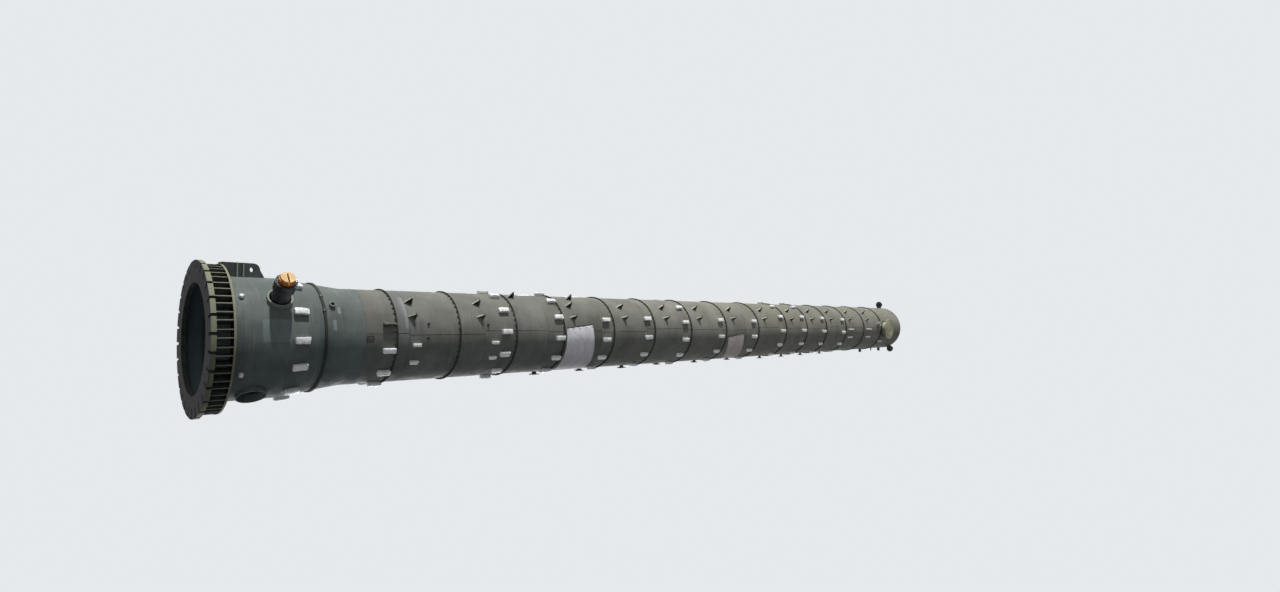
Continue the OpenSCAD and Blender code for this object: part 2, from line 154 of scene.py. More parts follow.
class Nodes:
    """A node tree in the making."""

    def __init__(self, tree: NodeTree) -> None:
        """Starts with the tree emptied."""
        self.tree = tree
        tree.nodes.clear()

    def feed(self, made: Node, inputs: dict) -> None:
        """Sets or links inputs of a node.

        Args:
            made: The node.
            inputs: By name or number, a plain value, a hex colour, an output socket or a node, whose result counts.
        """
        for key, value in inputs.items():
            if isinstance(value, Node):
                value = value.outputs[2 if value.bl_idname == "ShaderNodeMix" else 0]
            if isinstance(value, NodeSocket):
                self.tree.links.new(value, made.inputs[key])
            else:
                made.inputs[key].default_value = linear(value) if isinstance(value, str) else value

    def node(self, kind: str, inputs: dict | None = None, **settings: object) -> Node:
        """Adds a shader node. A range's inputs 1 to 4 are its two ends before and after, a mix's 6 and 7 its colours.

        Args:
            kind: The node type's name without its "ShaderNode" prefix.
            inputs: Its inputs, as for feed.
            settings: Its attributes, and as stops a ramp's places and colours, or as blend a mix's Blend.

        Returns:
            The new node.
        """
        made = self.tree.nodes.new("ShaderNode" + kind)
        if "blend" in settings:
            settings = {"data_type": "RGBA", "blend_type": settings["blend"].value}
        stops = settings.pop("stops", ())
        for key, value in settings.items():
            setattr(made, key, value)
        for index, (spot, colour) in enumerate(stops):
            elements = made.color_ramp.elements
            while len(elements) < len(stops):
                elements.new(0.5)
            elements[index].position, elements[index].color = spot, linear(colour)
        self.feed(made, inputs or {})
        return made


class Coat(Nodes):
    """A finish's node material in the making, with its shader and the coordinates it reads."""

    def __init__(self, name: str) -> None:
        """Starts the material.

        Args:
            name: The material's name.
        """
        self.material = bpy.data.materials.new(name)
        self.material.use_nodes = True
        super().__init__(self.material.node_tree)
        self.shader = self.node("BsdfPrincipled")
        self.output = self.node("OutputMaterial", {"Surface": self.shader})
        coords = self.node("TexCoord")
        self.place, self.normal = coords.outputs["Object"], coords.outputs["Normal"]

    def finish(self, inputs: dict) -> Material:
        """Sets or links the shader's inputs and gives the finished material."""
        self.feed(self.shader, inputs)
        return self.material


@dataclass(frozen=True)
class Patch:
    """A touched-up place on the column's wall, between two angles and two heights."""

    start: float
    end: float
    low: float
    high: float
    colour: str
    share: float  # How much it covers
    soft: float = 0.008  # Half the width of its faded edge, in metres up the wall and radians round it


@dataclass(frozen=True)
class Primer:
    """Zinc-rich shop primer, airless-sprayed on blasted steel plate: dull, cloudy, streaked and dusty, with painted
    light on its -X side and painted shade on its +X side.
    """

    name: str
    light: str  # The chalky film
    mid: str
    dark: str  # Thin or damp patches
    dust_and_painted_light: str = "#949183"  # Dust on the -X side, which is also painted light from the key lamp there
    shade: str = "#45474a"  # Painted shade on the +X side, away from the key lamp
    rough: float = 0.60
    strake: float = 1.71  # Height of one plate strake, each primed on its own
    dust_and_light_share: float = 0.45
    shade_share: float = 0.45
    patches: tuple[Patch, ...] = ()

    def plate_tone(self, coat: Coat) -> Node:
        """Grey value of each strake, a little lighter or darker than its neighbours, and lighter towards the top,
        partly from chalk and dust and partly as painted haze and sunlight.

        Args:
            coat: The material in the making.

        Returns:
            The node that gives it.
        """
        add = coat.node
        height = add("SeparateXYZ", {0: coat.place}).outputs["Z"]
        count = add("Math", {0: height, 1: 1 / self.strake}, operation="MULTIPLY")
        whole = add("Math", {0: count}, operation="FLOOR")
        value = add("TexWhiteNoise", {"W": whole}, noise_dimensions="1D")
        tone = add("MapRange", {0: value, 3: 0.91, 4: 1.05})
        # Lighter towards the top: partly chalk and dust, partly painted haze and sunlight
        chalk_and_painted_light = add("MapRange", {0: height, 1: 5.0, 2: 14.0, 3: 1.0, 4: 1.46})
        return add("Math", {0: tone, 1: chalk_and_painted_light}, operation="MULTIPLY")

    def touch_up(self, coat: Coat, colour: Node) -> Node:
        """Lays the touched-up places over the coat's colour.

        Args:
            coat: The material in the making.
            colour: The node that gives its colour.

        Returns:
            The node that gives the new colour.
        """
        if not self.patches:
            return colour
        add = coat.node
        axes = add("SeparateXYZ", {0: coat.place})
        back = add("Math", {0: axes.outputs["Y"], 1: -1.0}, operation="MULTIPLY")
        turn = add("Math", {0: axes.outputs["X"], 1: back}, operation="ARCTAN2")
        for patch in self.patches:
            share = patch.share
            for value, low, high in (
                (axes.outputs["Z"], patch.low, patch.high),
                (turn, math.radians(patch.start), math.radians(patch.end)),
            ):
                half = (high - low) / 2
                off = add("Math", {0: value, 1: (low + high) / 2}, operation="SUBTRACT")
                far = add("Math", {0: off}, operation="ABSOLUTE")
                inside = add("MapRange", {0: far, 1: half + patch.soft, 2: half - patch.soft})
                share = add("Math", {0: inside, 1: share}, operation="MULTIPLY")
            colour = add("Mix", {0: share, 6: colour, 7: patch.colour}, blend=Blend.COVER)
        return colour

    def make(self) -> Material:
        """Builds the node material.

        Returns:
            The material.
        """
        coat = Coat(self.name)
        add = coat.node
        # Clouds 700 mm across: overlapping spray passes
        cloud = add("TexNoise", {"Vector": coat.place, "Scale": 1 / (700 * MM), "Detail": 7.0, "Roughness": 0.6})
        colour = add("ValToRGB", {0: cloud}, stops=[(0.32, self.dark), (0.50, self.mid), (0.68, self.light)])
        colour = add("Mix", {0: 1.0, 6: colour, 7: self.plate_tone(coat)}, blend=Blend.TINT)
        # Dust from the yard with painted light on the -X side, towards the key lamp, and painted shade on the +X side,
        # away from it
        facing = add("SeparateXYZ", {0: coat.normal})
        dust_and_light_mask = add("MapRange", {0: facing, 1: 0.15, 2: -1.0, 4: self.dust_and_light_share})
        speckle = add("TexNoise", {"Vector": coat.place, "Scale": 1 / (160 * MM), "Detail": 5.0})
        patchy = add("Math", {0: dust_and_light_mask, 1: speckle}, operation="MULTIPLY", use_clamp=True)
        colour = add("Mix", {0: patchy, 6: colour, 7: self.dust_and_painted_light}, blend=Blend.COVER)
        painted_shade_mask = add("MapRange", {0: facing, 1: -0.1, 2: 0.9, 4: self.shade_share})
        colour = add("Mix", {0: painted_shade_mask, 6: colour, 7: self.shade}, blend=Blend.COVER)
        colour = self.touch_up(coat, colour)
        # Runs round the column, 30 mm wide: rain and overspray while it lay on its side
        band = add("Mapping", {"Vector": coat.place, "Scale": (1.6, 1.6, 33.0)})
        runs = add("TexNoise", {"Vector": band, "Scale": 1.0, "Detail": 4.0, "Roughness": 0.55})
        for colour_of_run, first, full, share in (("#a3a294", 0.60, 0.76, 0.34), ("#3c3d38", 0.40, 0.26, 0.38)):
            run = add("MapRange", {0: runs, 1: first, 2: full, 4: share})
            colour = add("Mix", {0: run, 6: colour, 7: colour_of_run}, blend=Blend.COVER)
        # Scuffs in a net of cells 200 mm round the column and 60 mm up it: handling marks down to the darker plate
        scuff_place = add("Mapping", {"Vector": coat.place, "Scale": (9.0, 9.0, 30.0)})
        scuff = add("TexVoronoi", {"Vector": scuff_place, "Scale": 0.55}, feature="DISTANCE_TO_EDGE")
        thin = add("MapRange", {0: scuff, 1: 0.035, 2: 0.0, 4: 0.5})
        broken = add("Math", {0: thin, 1: patchy}, operation="MULTIPLY")
        colour = add("Mix", {0: broken, 6: colour, 7: "#5a574b"}, blend=Blend.COVER)
        # Grit 9 mm across: blast texture drawn coarser than the real 0.1 mm, which is too fine to show
        grit = add("TexNoise", {"Vector": coat.place, "Scale": 1 / (9 * MM), "Detail": 2.0})
        grain = add("MapRange", {0: grit, 1: 0.3, 2: 0.7, 3: 0.93, 4: 1.05})
        colour = add("Mix", {0: 1.0, 6: colour, 7: grain}, blend=Blend.TINT)
        shine = add("MapRange", {0: speckle, 1: 0.3, 2: 0.7, 3: self.rough - 0.10, 4: self.rough + 0.14})
        waves = add("Math", {0: cloud, 1: 2.5, 2: grit}, operation="MULTIPLY_ADD")
        relief = add("Bump", {"Height": waves, "Strength": 0.16, "Distance": 2.0 * MM})
        return coat.finish({"Base Color": colour, "Roughness": shine, "Normal": relief, "Specular IOR Level": 0.12})


@dataclass(frozen=True)
class BarePlate:
    """Thick flame-cut plate under thin holding primer: dull faces, pale chalky edges and a dark underside."""

    name: str = "holding_primed_thick_plate"
    face: str = "#5c605c"
    edge: str = "#95967f"
    under: str = "#1d181a"  # The machined underside under its rust preventive

    def make(self) -> Material:
        """Builds the node material.

        Returns:
            The material.
        """
        coat = Coat(self.name)
        add = coat.node
        # Mottle 120 mm across: patchy brush coats
        mottle = add("TexNoise", {"Vector": coat.place, "Scale": 1 / (120 * MM), "Detail": 6.0, "Roughness": 0.6})
        colour = add("ValToRGB", {0: mottle}, stops=[(0.30, "#4a4d4a"), (0.52, self.face), (0.75, "#6f736e")])
        # Flame-cut edges face away from the axis
        facing, spot = add("SeparateXYZ", {0: coat.normal}), add("SeparateXYZ", {0: coat.place})
        out = add("Math", {0: facing, 1: spot}, operation="MULTIPLY")
        out = add("Math", {0: facing.outputs["Y"], 1: spot.outputs["Y"], 2: out}, operation="MULTIPLY_ADD")
        rim = add("MapRange", {0: out, 1: 0.9, 2: 1.15, 4: 0.9})
        colour = add("Mix", {0: rim, 6: colour, 7: self.edge}, blend=Blend.COVER)
        # Drag lines of the cutting flame, drawn 12 mm wide, coarser than the real 1 mm
        lines = add("TexNoise", {"Vector": coat.place, "Scale": 1 / (12 * MM), "Detail": 3.0})
        worn = add("MapRange", {0: lines, 1: 0.35, 2: 0.7, 3: 0.86, 4: 1.06})
        colour = add("Mix", {0: 1.0, 6: colour, 7: worn}, blend=Blend.TINT)
        down = add("MapRange", {0: facing.outputs["Z"], 1: -0.4, 2: -0.8})
        colour = add("Mix", {0: down, 6: colour, 7: self.under}, blend=Blend.COVER)
        relief = add("Bump", {"Height": lines, "Strength": 0.25, "Distance": 1.5 * MM})
        return coat.finish({"Base Color": colour, "Normal": relief, "Roughness": 0.66, "Specular IOR Level": 0.12})


@dataclass(frozen=True)
class StretchFilm:
    """White polythene stretch film, wound tight in many turns: glossy and creased, with painted shade grey in the
    folds.
    """

    name: str = "white_stretch_film"
    light: str = "#fbfcfa"
    # Grey of the folds: painted shade
    dark: str = "#cbcdc9"
    crease_mm: float = 48.0

    def creases(self, coat: Coat, place: Node, size: float) -> Node:
        """Sharp ridges where a noise field crosses its middle.

        Args:
            coat: The material in the making.
            place: The node that gives the coordinates.
            size: Size of the field's features, in metres.

        Returns:
            A node that gives 1 on a ridge and falls to 0 beside it.
        """
        add = coat.node
        waves = add("TexNoise", {"Vector": place, "Scale": 1 / size, "Detail": 2.0, "Roughness": 0.45})
        off = add("Math", {0: waves, 1: 0.5}, operation="SUBTRACT")
        far = add("Math", {0: off}, operation="ABSOLUTE")
        return add("MapRange", {0: far, 1: 0.0, 2: 0.10, 3: 1.0, 4: 0.0})

    def make(self) -> Material:
        """Builds the node material.

        Returns:
            The material.
        """
        coat = Coat(self.name)
        add = coat.node
        # Turns of the film pull creases round the column, 48 mm apart, bent by the pull of the hand
        sway = add("TexNoise", {"Vector": coat.place, "Scale": 1 / (140 * MM), "Detail": 3.0}).outputs["Color"]
        bent = add("VectorMath", {0: sway, 1: (0.10, 0.10, 0.10), 2: coat.place}, operation="MULTIPLY_ADD")
        drawn = add("Mapping", {"Vector": bent, "Scale": (0.34, 0.34, 1.0)})
        turns = self.creases(coat, drawn, 2.2 * self.crease_mm * MM)
        tilted = add("Mapping", {"Vector": bent, "Rotation": (0.9, 0.6, 0.0), "Scale": (0.5, 0.5, 1.0)})
        pleats = self.creases(coat, tilted, 3.0 * self.crease_mm * MM)
        crumple = add("TexNoise", {"Vector": coat.place, "Scale": 1 / (22 * MM), "Detail": 5.0, "Roughness": 0.6})
        colour = add("ValToRGB", {0: crumple}, stops=[(0.28, "#e6e8e5"), (0.52, self.light)])
        folds = add("Math", {0: pleats, 1: turns}, operation="MAXIMUM")
        # Painted shade: the folds darkened grey
        painted_crease_shade = add("MapRange", {0: folds, 1: 0.75, 2: 0.15, 4: 0.40})
        colour = add("Mix", {0: painted_crease_shade, 6: colour, 7: self.dark}, blend=Blend.COVER)
        height = add("Math", {0: crumple, 1: 0.5, 2: folds}, operation="MULTIPLY_ADD")
        relief = add("Bump", {"Height": height, "Strength": 0.9, "Distance": 9 * MM})
        gloss = {"Roughness": 0.34, "Coat Weight": 0.35, "Coat Roughness": 0.22}
        return coat.finish({"Base Color": colour, "Normal": relief, **gloss})


@dataclass(frozen=True)
class BitumenWrap:
    """Black bitumen tape, wound on pipe with half laps: near black, waxy and soft-edged."""

    name: str = "black_bitumen_tape"
    light: str = "#33353a"
    dark: str = "#141519"
    lap_mm: float = 75.0  # Width of tape that each turn shows

    def make(self) -> Material:
        """Builds the node material.

        Returns:
            The material.
        """
        coat = Coat(self.name)
        add = coat.node
        turned = add("Mapping", {"Vector": coat.place, "Rotation": (0.0, 0.0, math.radians(40))})
        pull = {"Scale": 0.32 / (self.lap_mm * MM), "Distortion": 0.8, "Detail": 2.0}
        laps = add("TexWave", {"Vector": turned, **pull}, bands_direction="Y", wave_profile="SAW").outputs["Fac"]
        # Smears 55 mm across, where the primer bled through
        smear = add("TexNoise", {"Vector": coat.place, "Scale": 1 / (55 * MM), "Detail": 6.0})
        colour = add("ValToRGB", {0: smear}, stops=[(0.32, self.dark), (0.72, self.light)])
        edge = add("MapRange", {0: laps, 1: 0.88, 2: 1.0, 4: 0.35})
        colour = add("Mix", {0: edge, 6: colour, 7: "#4a4b4d"}, blend=Blend.COVER)
        height = add("Math", {0: laps, 1: smear}, operation="ADD")
        relief = add("Bump", {"Height": height, "Strength": 0.45, "Distance": 3 * MM})
        shine = add("MapRange", {0: smear, 1: 0.3, 2: 0.7, 3: 0.34, 4: 0.62})
        return coat.finish({"Base Color": colour, "Roughness": shine, "Normal": relief})


@dataclass(frozen=True)
class MouldedCover:
    """Injection-moulded polythene flange cover: waxy amber, cloudy and a little see-through."""

    name: str
    light: str  # Bleached by the sun
    mid: str
    deep: str  # Thick parts
    glow: float = 0.15  # Share of the light that comes through it

    def make(self) -> Material:
        """Builds the node material.

        Returns:
            The material.
        """
        coat = Coat(self.name)
        add = coat.node
        # Flow marks 60 mm across, as the melt froze
        flow = add("TexNoise", {"Vector": coat.place, "Scale": 1 / (60 * MM), "Detail": 4.0, "Distortion": 0.6})
        colour = add("ValToRGB", {0: flow}, stops=[(0.30, self.deep), (0.55, self.mid), (0.78, self.light)])
        dirt = add("TexNoise", {"Vector": coat.place, "Scale": 1 / (18 * MM), "Detail": 5.0})
        smudge = add("MapRange", {0: dirt, 1: 0.58, 2: 0.72, 4: 0.4})
        colour = add("Mix", {0: smudge, 6: colour, 7: "#7b5a24"}, blend=Blend.COVER)
        relief = add("Bump", {"Height": flow, "Strength": 0.2, "Distance": 2 * MM})
        inner = {"Subsurface Weight": self.glow, "Subsurface Radius": (1.0, 0.5, 0.2), "Subsurface Scale": 60 * MM}
        return coat.finish({"Base Color": colour, "Normal": relief, "Roughness": 0.36, **inner})


@dataclass(frozen=True)
class BannerCloth:
    """PVC-coated polyester cloth: matt, soft, with stains along its creases."""

    name: str
    light: str  # Clean coating
    dark: str  # Stained creases
    streak: str  # Dye that ran down the cloth
    painted_shade: str  # Painted shade towards +X, the side away from the key lamp

    def make(self) -> Material:
        """Builds the node material.

        Returns:
            The material.
        """
        coat = Coat(self.name)
        add = coat.node
        uv = add("UVMap", uv_map="cloth")
        stain = add("TexNoise", {"Vector": coat.place, "Scale": 1 / (300 * MM), "Detail": 6.0})
        colour = add("ValToRGB", {0: stain}, stops=[(0.30, self.dark), (0.58, self.light)])
        # Runs across the cloth, 45 mm apart, washed round the shell by rain
        drawn = add("Mapping", {"Vector": uv, "Scale": (1.2, 22.0, 1.0)})
        runs = add("TexNoise", {"Vector": drawn, "Scale": 1.0, "Detail": 4.0})
        ran = add("MapRange", {0: runs, 1: 0.50, 2: 0.72, 4: 0.55})
        colour = add("Mix", {0: ran, 6: colour, 7: self.streak}, blend=Blend.COVER)
        # Painted shade: darker towards +X, away from the key lamp
        painted_shade_mask = add("MapRange", {0: add("SeparateXYZ", {0: coat.place}), 1: 0.05, 2: 0.80, 4: 0.80})
        colour = add("Mix", {0: painted_shade_mask, 6: colour, 7: self.painted_shade}, blend=Blend.COVER)
        # Weave drawn at 14 mm, as the real 1 mm is too fine to show
        warp, weft = (
            add("TexWave", {"Vector": uv, "Scale": 22.0, "Distortion": 0.4}, bands_direction=axis).outputs["Fac"]
            for axis in "XY"
        )
        weave = add("Math", {0: warp, 1: weft}, operation="MULTIPLY")
        relief = add("Bump", {"Height": weave, "Strength": 0.12, "Distance": 1 * MM})
        return coat.finish({"Base Color": colour, "Normal": relief, "Roughness": 0.56, "Sheen Weight": 0.15})


@dataclass(frozen=True)
class ZincHardware:
    """Hot-dip galvanised bolts, nuts and eyelets: spangled grey metal, dulled by weather."""

    name: str = "galvanised_hardware"
    light: str = "#a9adad"
    dark: str = "#74787a"

    def make(self) -> Material:
        """Builds the node material.

        Returns:
            The material.
        """
        coat = Coat(self.name)
        spangle = coat.node("TexVoronoi", {"Vector": coat.place, "Scale": 1 / (14 * MM)})
        colour = coat.node("ValToRGB", {0: spangle}, stops=[(0.1, self.light), (0.6, self.dark)])
        return coat.finish({"Base Color": colour, "Metallic": 0.85, "Roughness": 0.48})


class Finishes:
    """The finishes of the column, each made once."""

    def __init__(self) -> None:
        """Makes every finish."""
        # Shell and heads, warmer towards the top. Angles far past half a turn keep a faded edge off the wall
        warm = Patch(-2000.0, 2000.0, 12.0, 60.0, "#8c8671", 0.30, 5.0)
        foot = Patch(-200.0, 200.0, 2.300, 2.620, "#646c69", 0.80, 0.110)
        rusty = Patch(-80.0, 8.0, 2.640, 2.740, "#7d6f58", 0.30, 0.070)
        band = Patch(-110.0, 10.0, 3.170, 3.560, "#81868a", 0.30, 0.120)
        streak = Patch(-58.0, -12.0, 3.330, 3.405, "#b3b4b6", 0.36, 0.030)
        square = Patch(-3.2, 4.2, 2.590, 2.680, "#4d4f4c", 0.35)
        self.shell = Primer(
            "grey_zinc_primer", "#7d7e77", "#6e6f69", "#5d5e58", patches=(warm, foot, rusty, band, streak, square)
        ).make()
        # Skirt, a little bluer, its foot between the gussets lightened with painted sky light
        painted_sky_light_foot = Patch(-200.0, 200.0, 0.070, 0.330, "#98a9b1", 0.60, 0.010)
        shadowed = Patch(-19.6, 0.9, 0.784, 1.233, "#94a1a1", 0.34)
        strip = Patch(-20.8, -9.6, 1.950, 2.012, "#98a3a1", 0.55)
        mark = Patch(-36.5, -28.7, 2.060, 2.120, "#a2aaa4", 0.50)
        self.skirt = Primer(
            "skirt_zinc_primer", "#757d79", "#646c69", "#535b59", dust_and_painted_light="#808780", shade="#3b4346",
            patches=(painted_sky_light_foot, shadowed, strip, mark),
        ).make()
        # Tailing lug, with painted highlights along its ribs
        painted_rib_highlights = tuple(Patch(-83.7, -60.0, low, low + 0.032, "#a3ad98", 0.85, 0.004) for low in (0.572, 0.667))
        self.lug = Primer("lug_zinc_primer", "#616863", "#505754", "#414745", dust_and_painted_light="#6f7771", patches=painted_rib_highlights).make()
        self.thick = BarePlate().make()
        # Sleeves and bosses, fresher
        self.edge = Primer("pale_edge_primer", "#a4aaa2", "#8f958d", "#797f78", dust_and_painted_light="#a9a996", shade="#6c7069").make()
        # Trunnions, in their maker's yellower primer
        self.olive = Primer(
            "olive_trunnion_primer", "#aba88c", "#949279", "#7d7b66", dust_and_painted_light="#aeaa92", shade="#6b695a"
        ).make()
        # Rings and brackets, then cleats with a painted highlight on their upper sides, and their sunlit bars, pale
        # all over as a painted highlight
        self.dark = Primer(
            "dark_zinc_primer", "#4c4d47", "#3e3f3a", "#30312d", dust_and_painted_light="#5d5b4e", shade="#232527", rough=0.68
        ).make()
        self.cleat = Primer(
            "cleat_zinc_primer", "#4c4d47", "#3c3d38", "#2d2e2b", dust_and_painted_light="#cfcdb9", shade="#232527", dust_and_light_share=1.8,
            rough=0.66,
        ).make()
        self.chalk_and_painted_light = Primer(
            "painted_highlight_edge_primer", "#d3d1c1", "#bdbbab", "#9d9b8c", dust_and_painted_light="#cfccb8", shade="#7a7970"
        ).make()
        # Ground and brushed weld metal
        self.weld = Primer("brushed_weld_primer", "#787870", "#5f6059", "#45463f", rough=0.52).make()
        self.film = StretchFilm().make()
        self.tape = BitumenWrap().make()
        self.cover = MouldedCover("amber_polythene_cover", "#f0d598", "#dcb268", "#c48d3b").make()
        # The rim, a deeper amber than the cover: painted shade
        self.rim = MouldedCover("amber_rim_painted_shade", "#cf8428", "#bd7320", "#a45e17", glow=0.9).make()
        self.white_cloth = BannerCloth("white_coated_cloth", "#fbf9fd", "#ebe6ea", "#c4b9bd", "#7d7277").make()
        self.pink_cloth = BannerCloth("faded_coated_cloth", "#fbeee6", "#e8d5cb", "#b39e96", "#675c59").make()
        self.zinc = ZincHardware().make()


# Stage


@dataclass
class Studio:
    """Floor, pale surroundings, lamps and the camera at the photograph's angle."""

    eye: Vector = field(default_factory=lambda: Vector((-0.6705, -12.9366, -2.2784)))
    look: Vector = field(default_factory=lambda: Vector((-0.020885, 0.700290, 0.713550)))
    down: Vector = field(default_factory=lambda: Vector((0.999572, 0.0, 0.029256)))  # Towards the image's lower edge
    focal_px: float = 624.17
    frame_px: float = 1280.0
    sensor_mm: float = 36.0
    floor_size: float = 60.0
    pit_r: float = 1.363  # Radius of the part of the floor under the base, through which light reaches its face
    floor_colour: str = "#d9dbdd"
    # Each lamp's angle round the column, its height over the horizon, its strength and its angular size
    lamps: tuple[tuple[str, float, float, float, float], ...] = (
        ("key_sun", -80.0, 2.0, 3.2, 1.5),
        ("sky_fill", -70.0, 0.0, 0.30, 100.0),
        ("side_fill", 148.0, 22.0, 1.2, 40.0),
        ("back_fill", 188.0, 35.0, 1.8, 12.0),
    )

    def camera(self) -> None:
        """Sets the camera at the photograph's angle."""
        data = bpy.data.cameras.new("photo_camera")
        data.sensor_fit = "HORIZONTAL"
        data.sensor_width = self.sensor_mm
        data.lens = self.focal_px / self.frame_px * self.sensor_mm
        data.clip_start, data.clip_end = 0.1, 200.0
        camera = bpy.data.objects.new("photo_camera", data)
        look = self.look.normalized()
        up = (-self.down + self.down.dot(look) * look).normalized()
        frame = Matrix((look.cross(up), up, -look)).transposed().to_4x4()
        frame.translation = self.eye
        camera.matrix_world = frame
        bpy.context.collection.objects.link(camera)
        bpy.context.scene.camera = camera

    def light(self) -> None:
        """Adds the lamps."""
        for name, angle, climb, strength, soft in self.lamps:
            data = bpy.data.lights.new(name, "SUN")
            data.energy = strength
            data.angle = math.radians(soft)
            lamp = bpy.data.objects.new(name, data)
            side = polar(angle, math.cos(math.radians(climb)), math.sin(math.radians(climb)))
            lamp.rotation_euler = side.to_track_quat("Z", "Y").to_euler()
            bpy.context.collection.objects.link(lamp)

    def surroundings(self) -> None:
        """Lights softly from all round and shows a pale backdrop."""
        world = bpy.data.worlds.new("pale_studio")
        bpy.context.scene.world = world
        world.use_nodes = True
        sky = Nodes(world.node_tree)
        path = sky.node("LightPath")
        seen = path.outputs["Is Camera Ray"]
        for ray in ("Is Glossy Ray", "Is Transmission Ray"):
            seen = sky.node("Math", {0: seen, 1: path.outputs[ray]}, operation="MAXIMUM")
        fill = sky.node("Background", {"Color": "#d2deec", "Strength": 0.095})
        shown = sky.node("Background", {"Color": "#e6e9ec", "Strength": 1.0})
        sky.node("OutputWorld", {"Surface": sky.node("MixShader", {0: seen, 1: fill, 2: shown})})

    def floor_paint(self, pit: bool) -> Material:
        """Makes the floor's paint, which shows from above only.

        Args:
            pit: Whether it is for the disc under the column, which also lets light through to the base's face.

        Returns:
            The material.
        """
        coat = Coat("pale_floor_pit" if pit else "pale_floor_paint")
        add = coat.node
        seen = add("LightPath").outputs["Is Camera Ray"]
        above = add("Math", {0: 1.0, 1: add("NewGeometry").outputs["Backfacing"]}, operation="SUBTRACT")
        inputs = {"Base Color": self.floor_colour, "Emission Color": self.floor_colour, "Roughness": 0.9}
        if pit:
            above = add("Math", {0: above, 1: seen}, operation="MULTIPLY")
        else:
            inputs["Emission Strength"] = add("Math", {0: seen, 1: 0.42}, operation="MULTIPLY")
        mix = add("MixShader", {0: above, 1: add("BsdfTransparent"), 2: coat.shader})
        coat.feed(coat.output, {"Surface": mix})
        return coat.finish(inputs)

    def floor(self) -> None:
        """Lays a pale floor round the base plate and a disc of it under the base, both seen from above only."""
        for pit in (False, True):
            shape = bmesh.new()
            ring = bmesh.ops.create_circle(shape, cap_ends=pit, segments=128, radius=self.pit_r)
            if not pit:
                made = bmesh.ops.extrude_edge_only(shape, edges=edges_of(ring["verts"]))
                outer = [item for item in made["geom"] if isinstance(item, BMVert)]
                grow = self.floor_size / self.pit_r
                bmesh.ops.scale(shape, vec=(grow, grow, 1.0), verts=outer)
            bmesh.ops.recalc_face_normals(shape, faces=shape.faces)
            for face in shape.faces:
                if face.normal.z < 0:
                    face.normal_flip()
            mesh = bpy.data.meshes.new("floor_pit" if pit else "floor")
            shape.to_mesh(mesh)
            shape.free()
            floor = bpy.data.objects.new(mesh.name, mesh)
            floor.location.z = -1 * MM if pit else 0.0
            bpy.context.collection.objects.link(floor)
            mesh.materials.append(self.floor_paint(pit))

    def build(self) -> None:
        """Builds the whole stage."""
        self.camera()
        self.light()
        self.surroundings()
        self.floor()
        bpy.context.scene.view_settings.view_transform = "Standard"


# Making and shaping helpers


def add_piece(name: str, shape: BMesh, material: Material, smooth: bool = True) -> Object:
    """Makes a piece of the column from a finished shape.

    Args:
        name: The piece's name.
        shape: The finished shape, freed here.
        material: Its material.
        smooth: Whether its faces are shaded smooth.

    Returns:
        The new object, riding on the root body.
    """
    mesh = bpy.data.meshes.new(name)
    for face in shape.faces:
        face.smooth = smooth
    shape.to_mesh(mesh)
    shape.free()
    piece = bpy.data.objects.new(name, mesh)
    bpy.context.collection.objects.link(piece)
    mesh.materials.append(material)
    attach(piece, "root")
    LOG.info("piece %s: %d faces", name, len(mesh.polygons))
    return piece


def spin_profile(shape: BMesh, profile: Outline, steps: int, place: Matrix) -> None:
    """Revolves a closed outline round the Z axis of a frame.

    Args:
        shape: The shape that gets the ring.
        profile: Points of the outline as radius and height.
        steps: Steps in the full turn.
        place: The frame.
    """
    verts = [shape.verts.new((radius, 0.0, height)) for radius, height in profile]
    edges = [shape.edges.new((verts[i - 1], verts[i])) for i in range(len(verts))]
    before = set(shape.verts) - set(verts)
    bmesh.ops.spin(
        shape, geom=verts + edges, cent=(0, 0, 0), axis=(0, 0, 1), angle=math.tau, steps=steps, use_merge=True
    )
    fresh = [v for v in shape.verts if v not in before]
    bmesh.ops.transform(shape, matrix=place, verts=fresh)
    bmesh.ops.recalc_face_normals(shape, faces=list(dict.fromkeys(f for v in fresh for f in v.link_faces)))


def bevel(shape: BMesh, edges: list[BMEdge], offset: float, segments: int = 1, clamp: bool = False) -> list[BMVert]:
    """Rounds edges.

    Args:
        shape: The shape that holds them.
        edges: The edges.
        offset: Width of the bevel.
        segments: Its number of faces.
        clamp: Whether neighbouring bevels are kept from crossing.

    Returns:
        The new points.
    """
    made = bmesh.ops.bevel(
        shape, geom=edges, offset=offset, offset_type="OFFSET", segments=segments, profile=0.5, affect="EDGES",
        material=-1, clamp_overlap=clamp,
    )
    return made["verts"]


def edges_of(verts: list[BMVert]) -> list[BMEdge]:
    """All edges that meet at points, each once and in the same order each run."""
    return list(dict.fromkeys(e for v in verts for e in v.link_edges))


def ease(shape: BMesh, verts: list[BMVert], edges: list[BMEdge], offset: float, place: Matrix) -> None:
    """Eases edges of a fresh block and sets it in its place.

    Args:
        shape: The shape that holds it.
        verts: The block's points.
        edges: The edges to ease.
        offset: Width of the bevel.
        place: Where the block goes.
    """
    eased = bevel(shape, edges, offset)
    fresh = list(dict.fromkeys([v for v in verts if v.is_valid] + eased))
    bmesh.ops.transform(shape, matrix=place, verts=fresh)


def add_hex(shape: BMesh, place: Matrix, across: float, height: float) -> None:
    """Adds a hexagon head or nut with eased corners.

    Args:
        shape: The shape that gets it.
        place: The frame on whose XY plane it stands.
        across: Its width across the flats.
        height: Its height.
    """
    radius = across / math.sqrt(3)
    made = bmesh.ops.create_cone(shape, cap_ends=True, segments=6, radius1=radius, radius2=radius, depth=height)
    rim = [e for e in edges_of(made["verts"]) if all(v.co.z > 0 for v in e.verts)]
    ease(shape, made["verts"], rim, height * 0.18, place @ Matrix.Translation((0, 0, height / 2)))


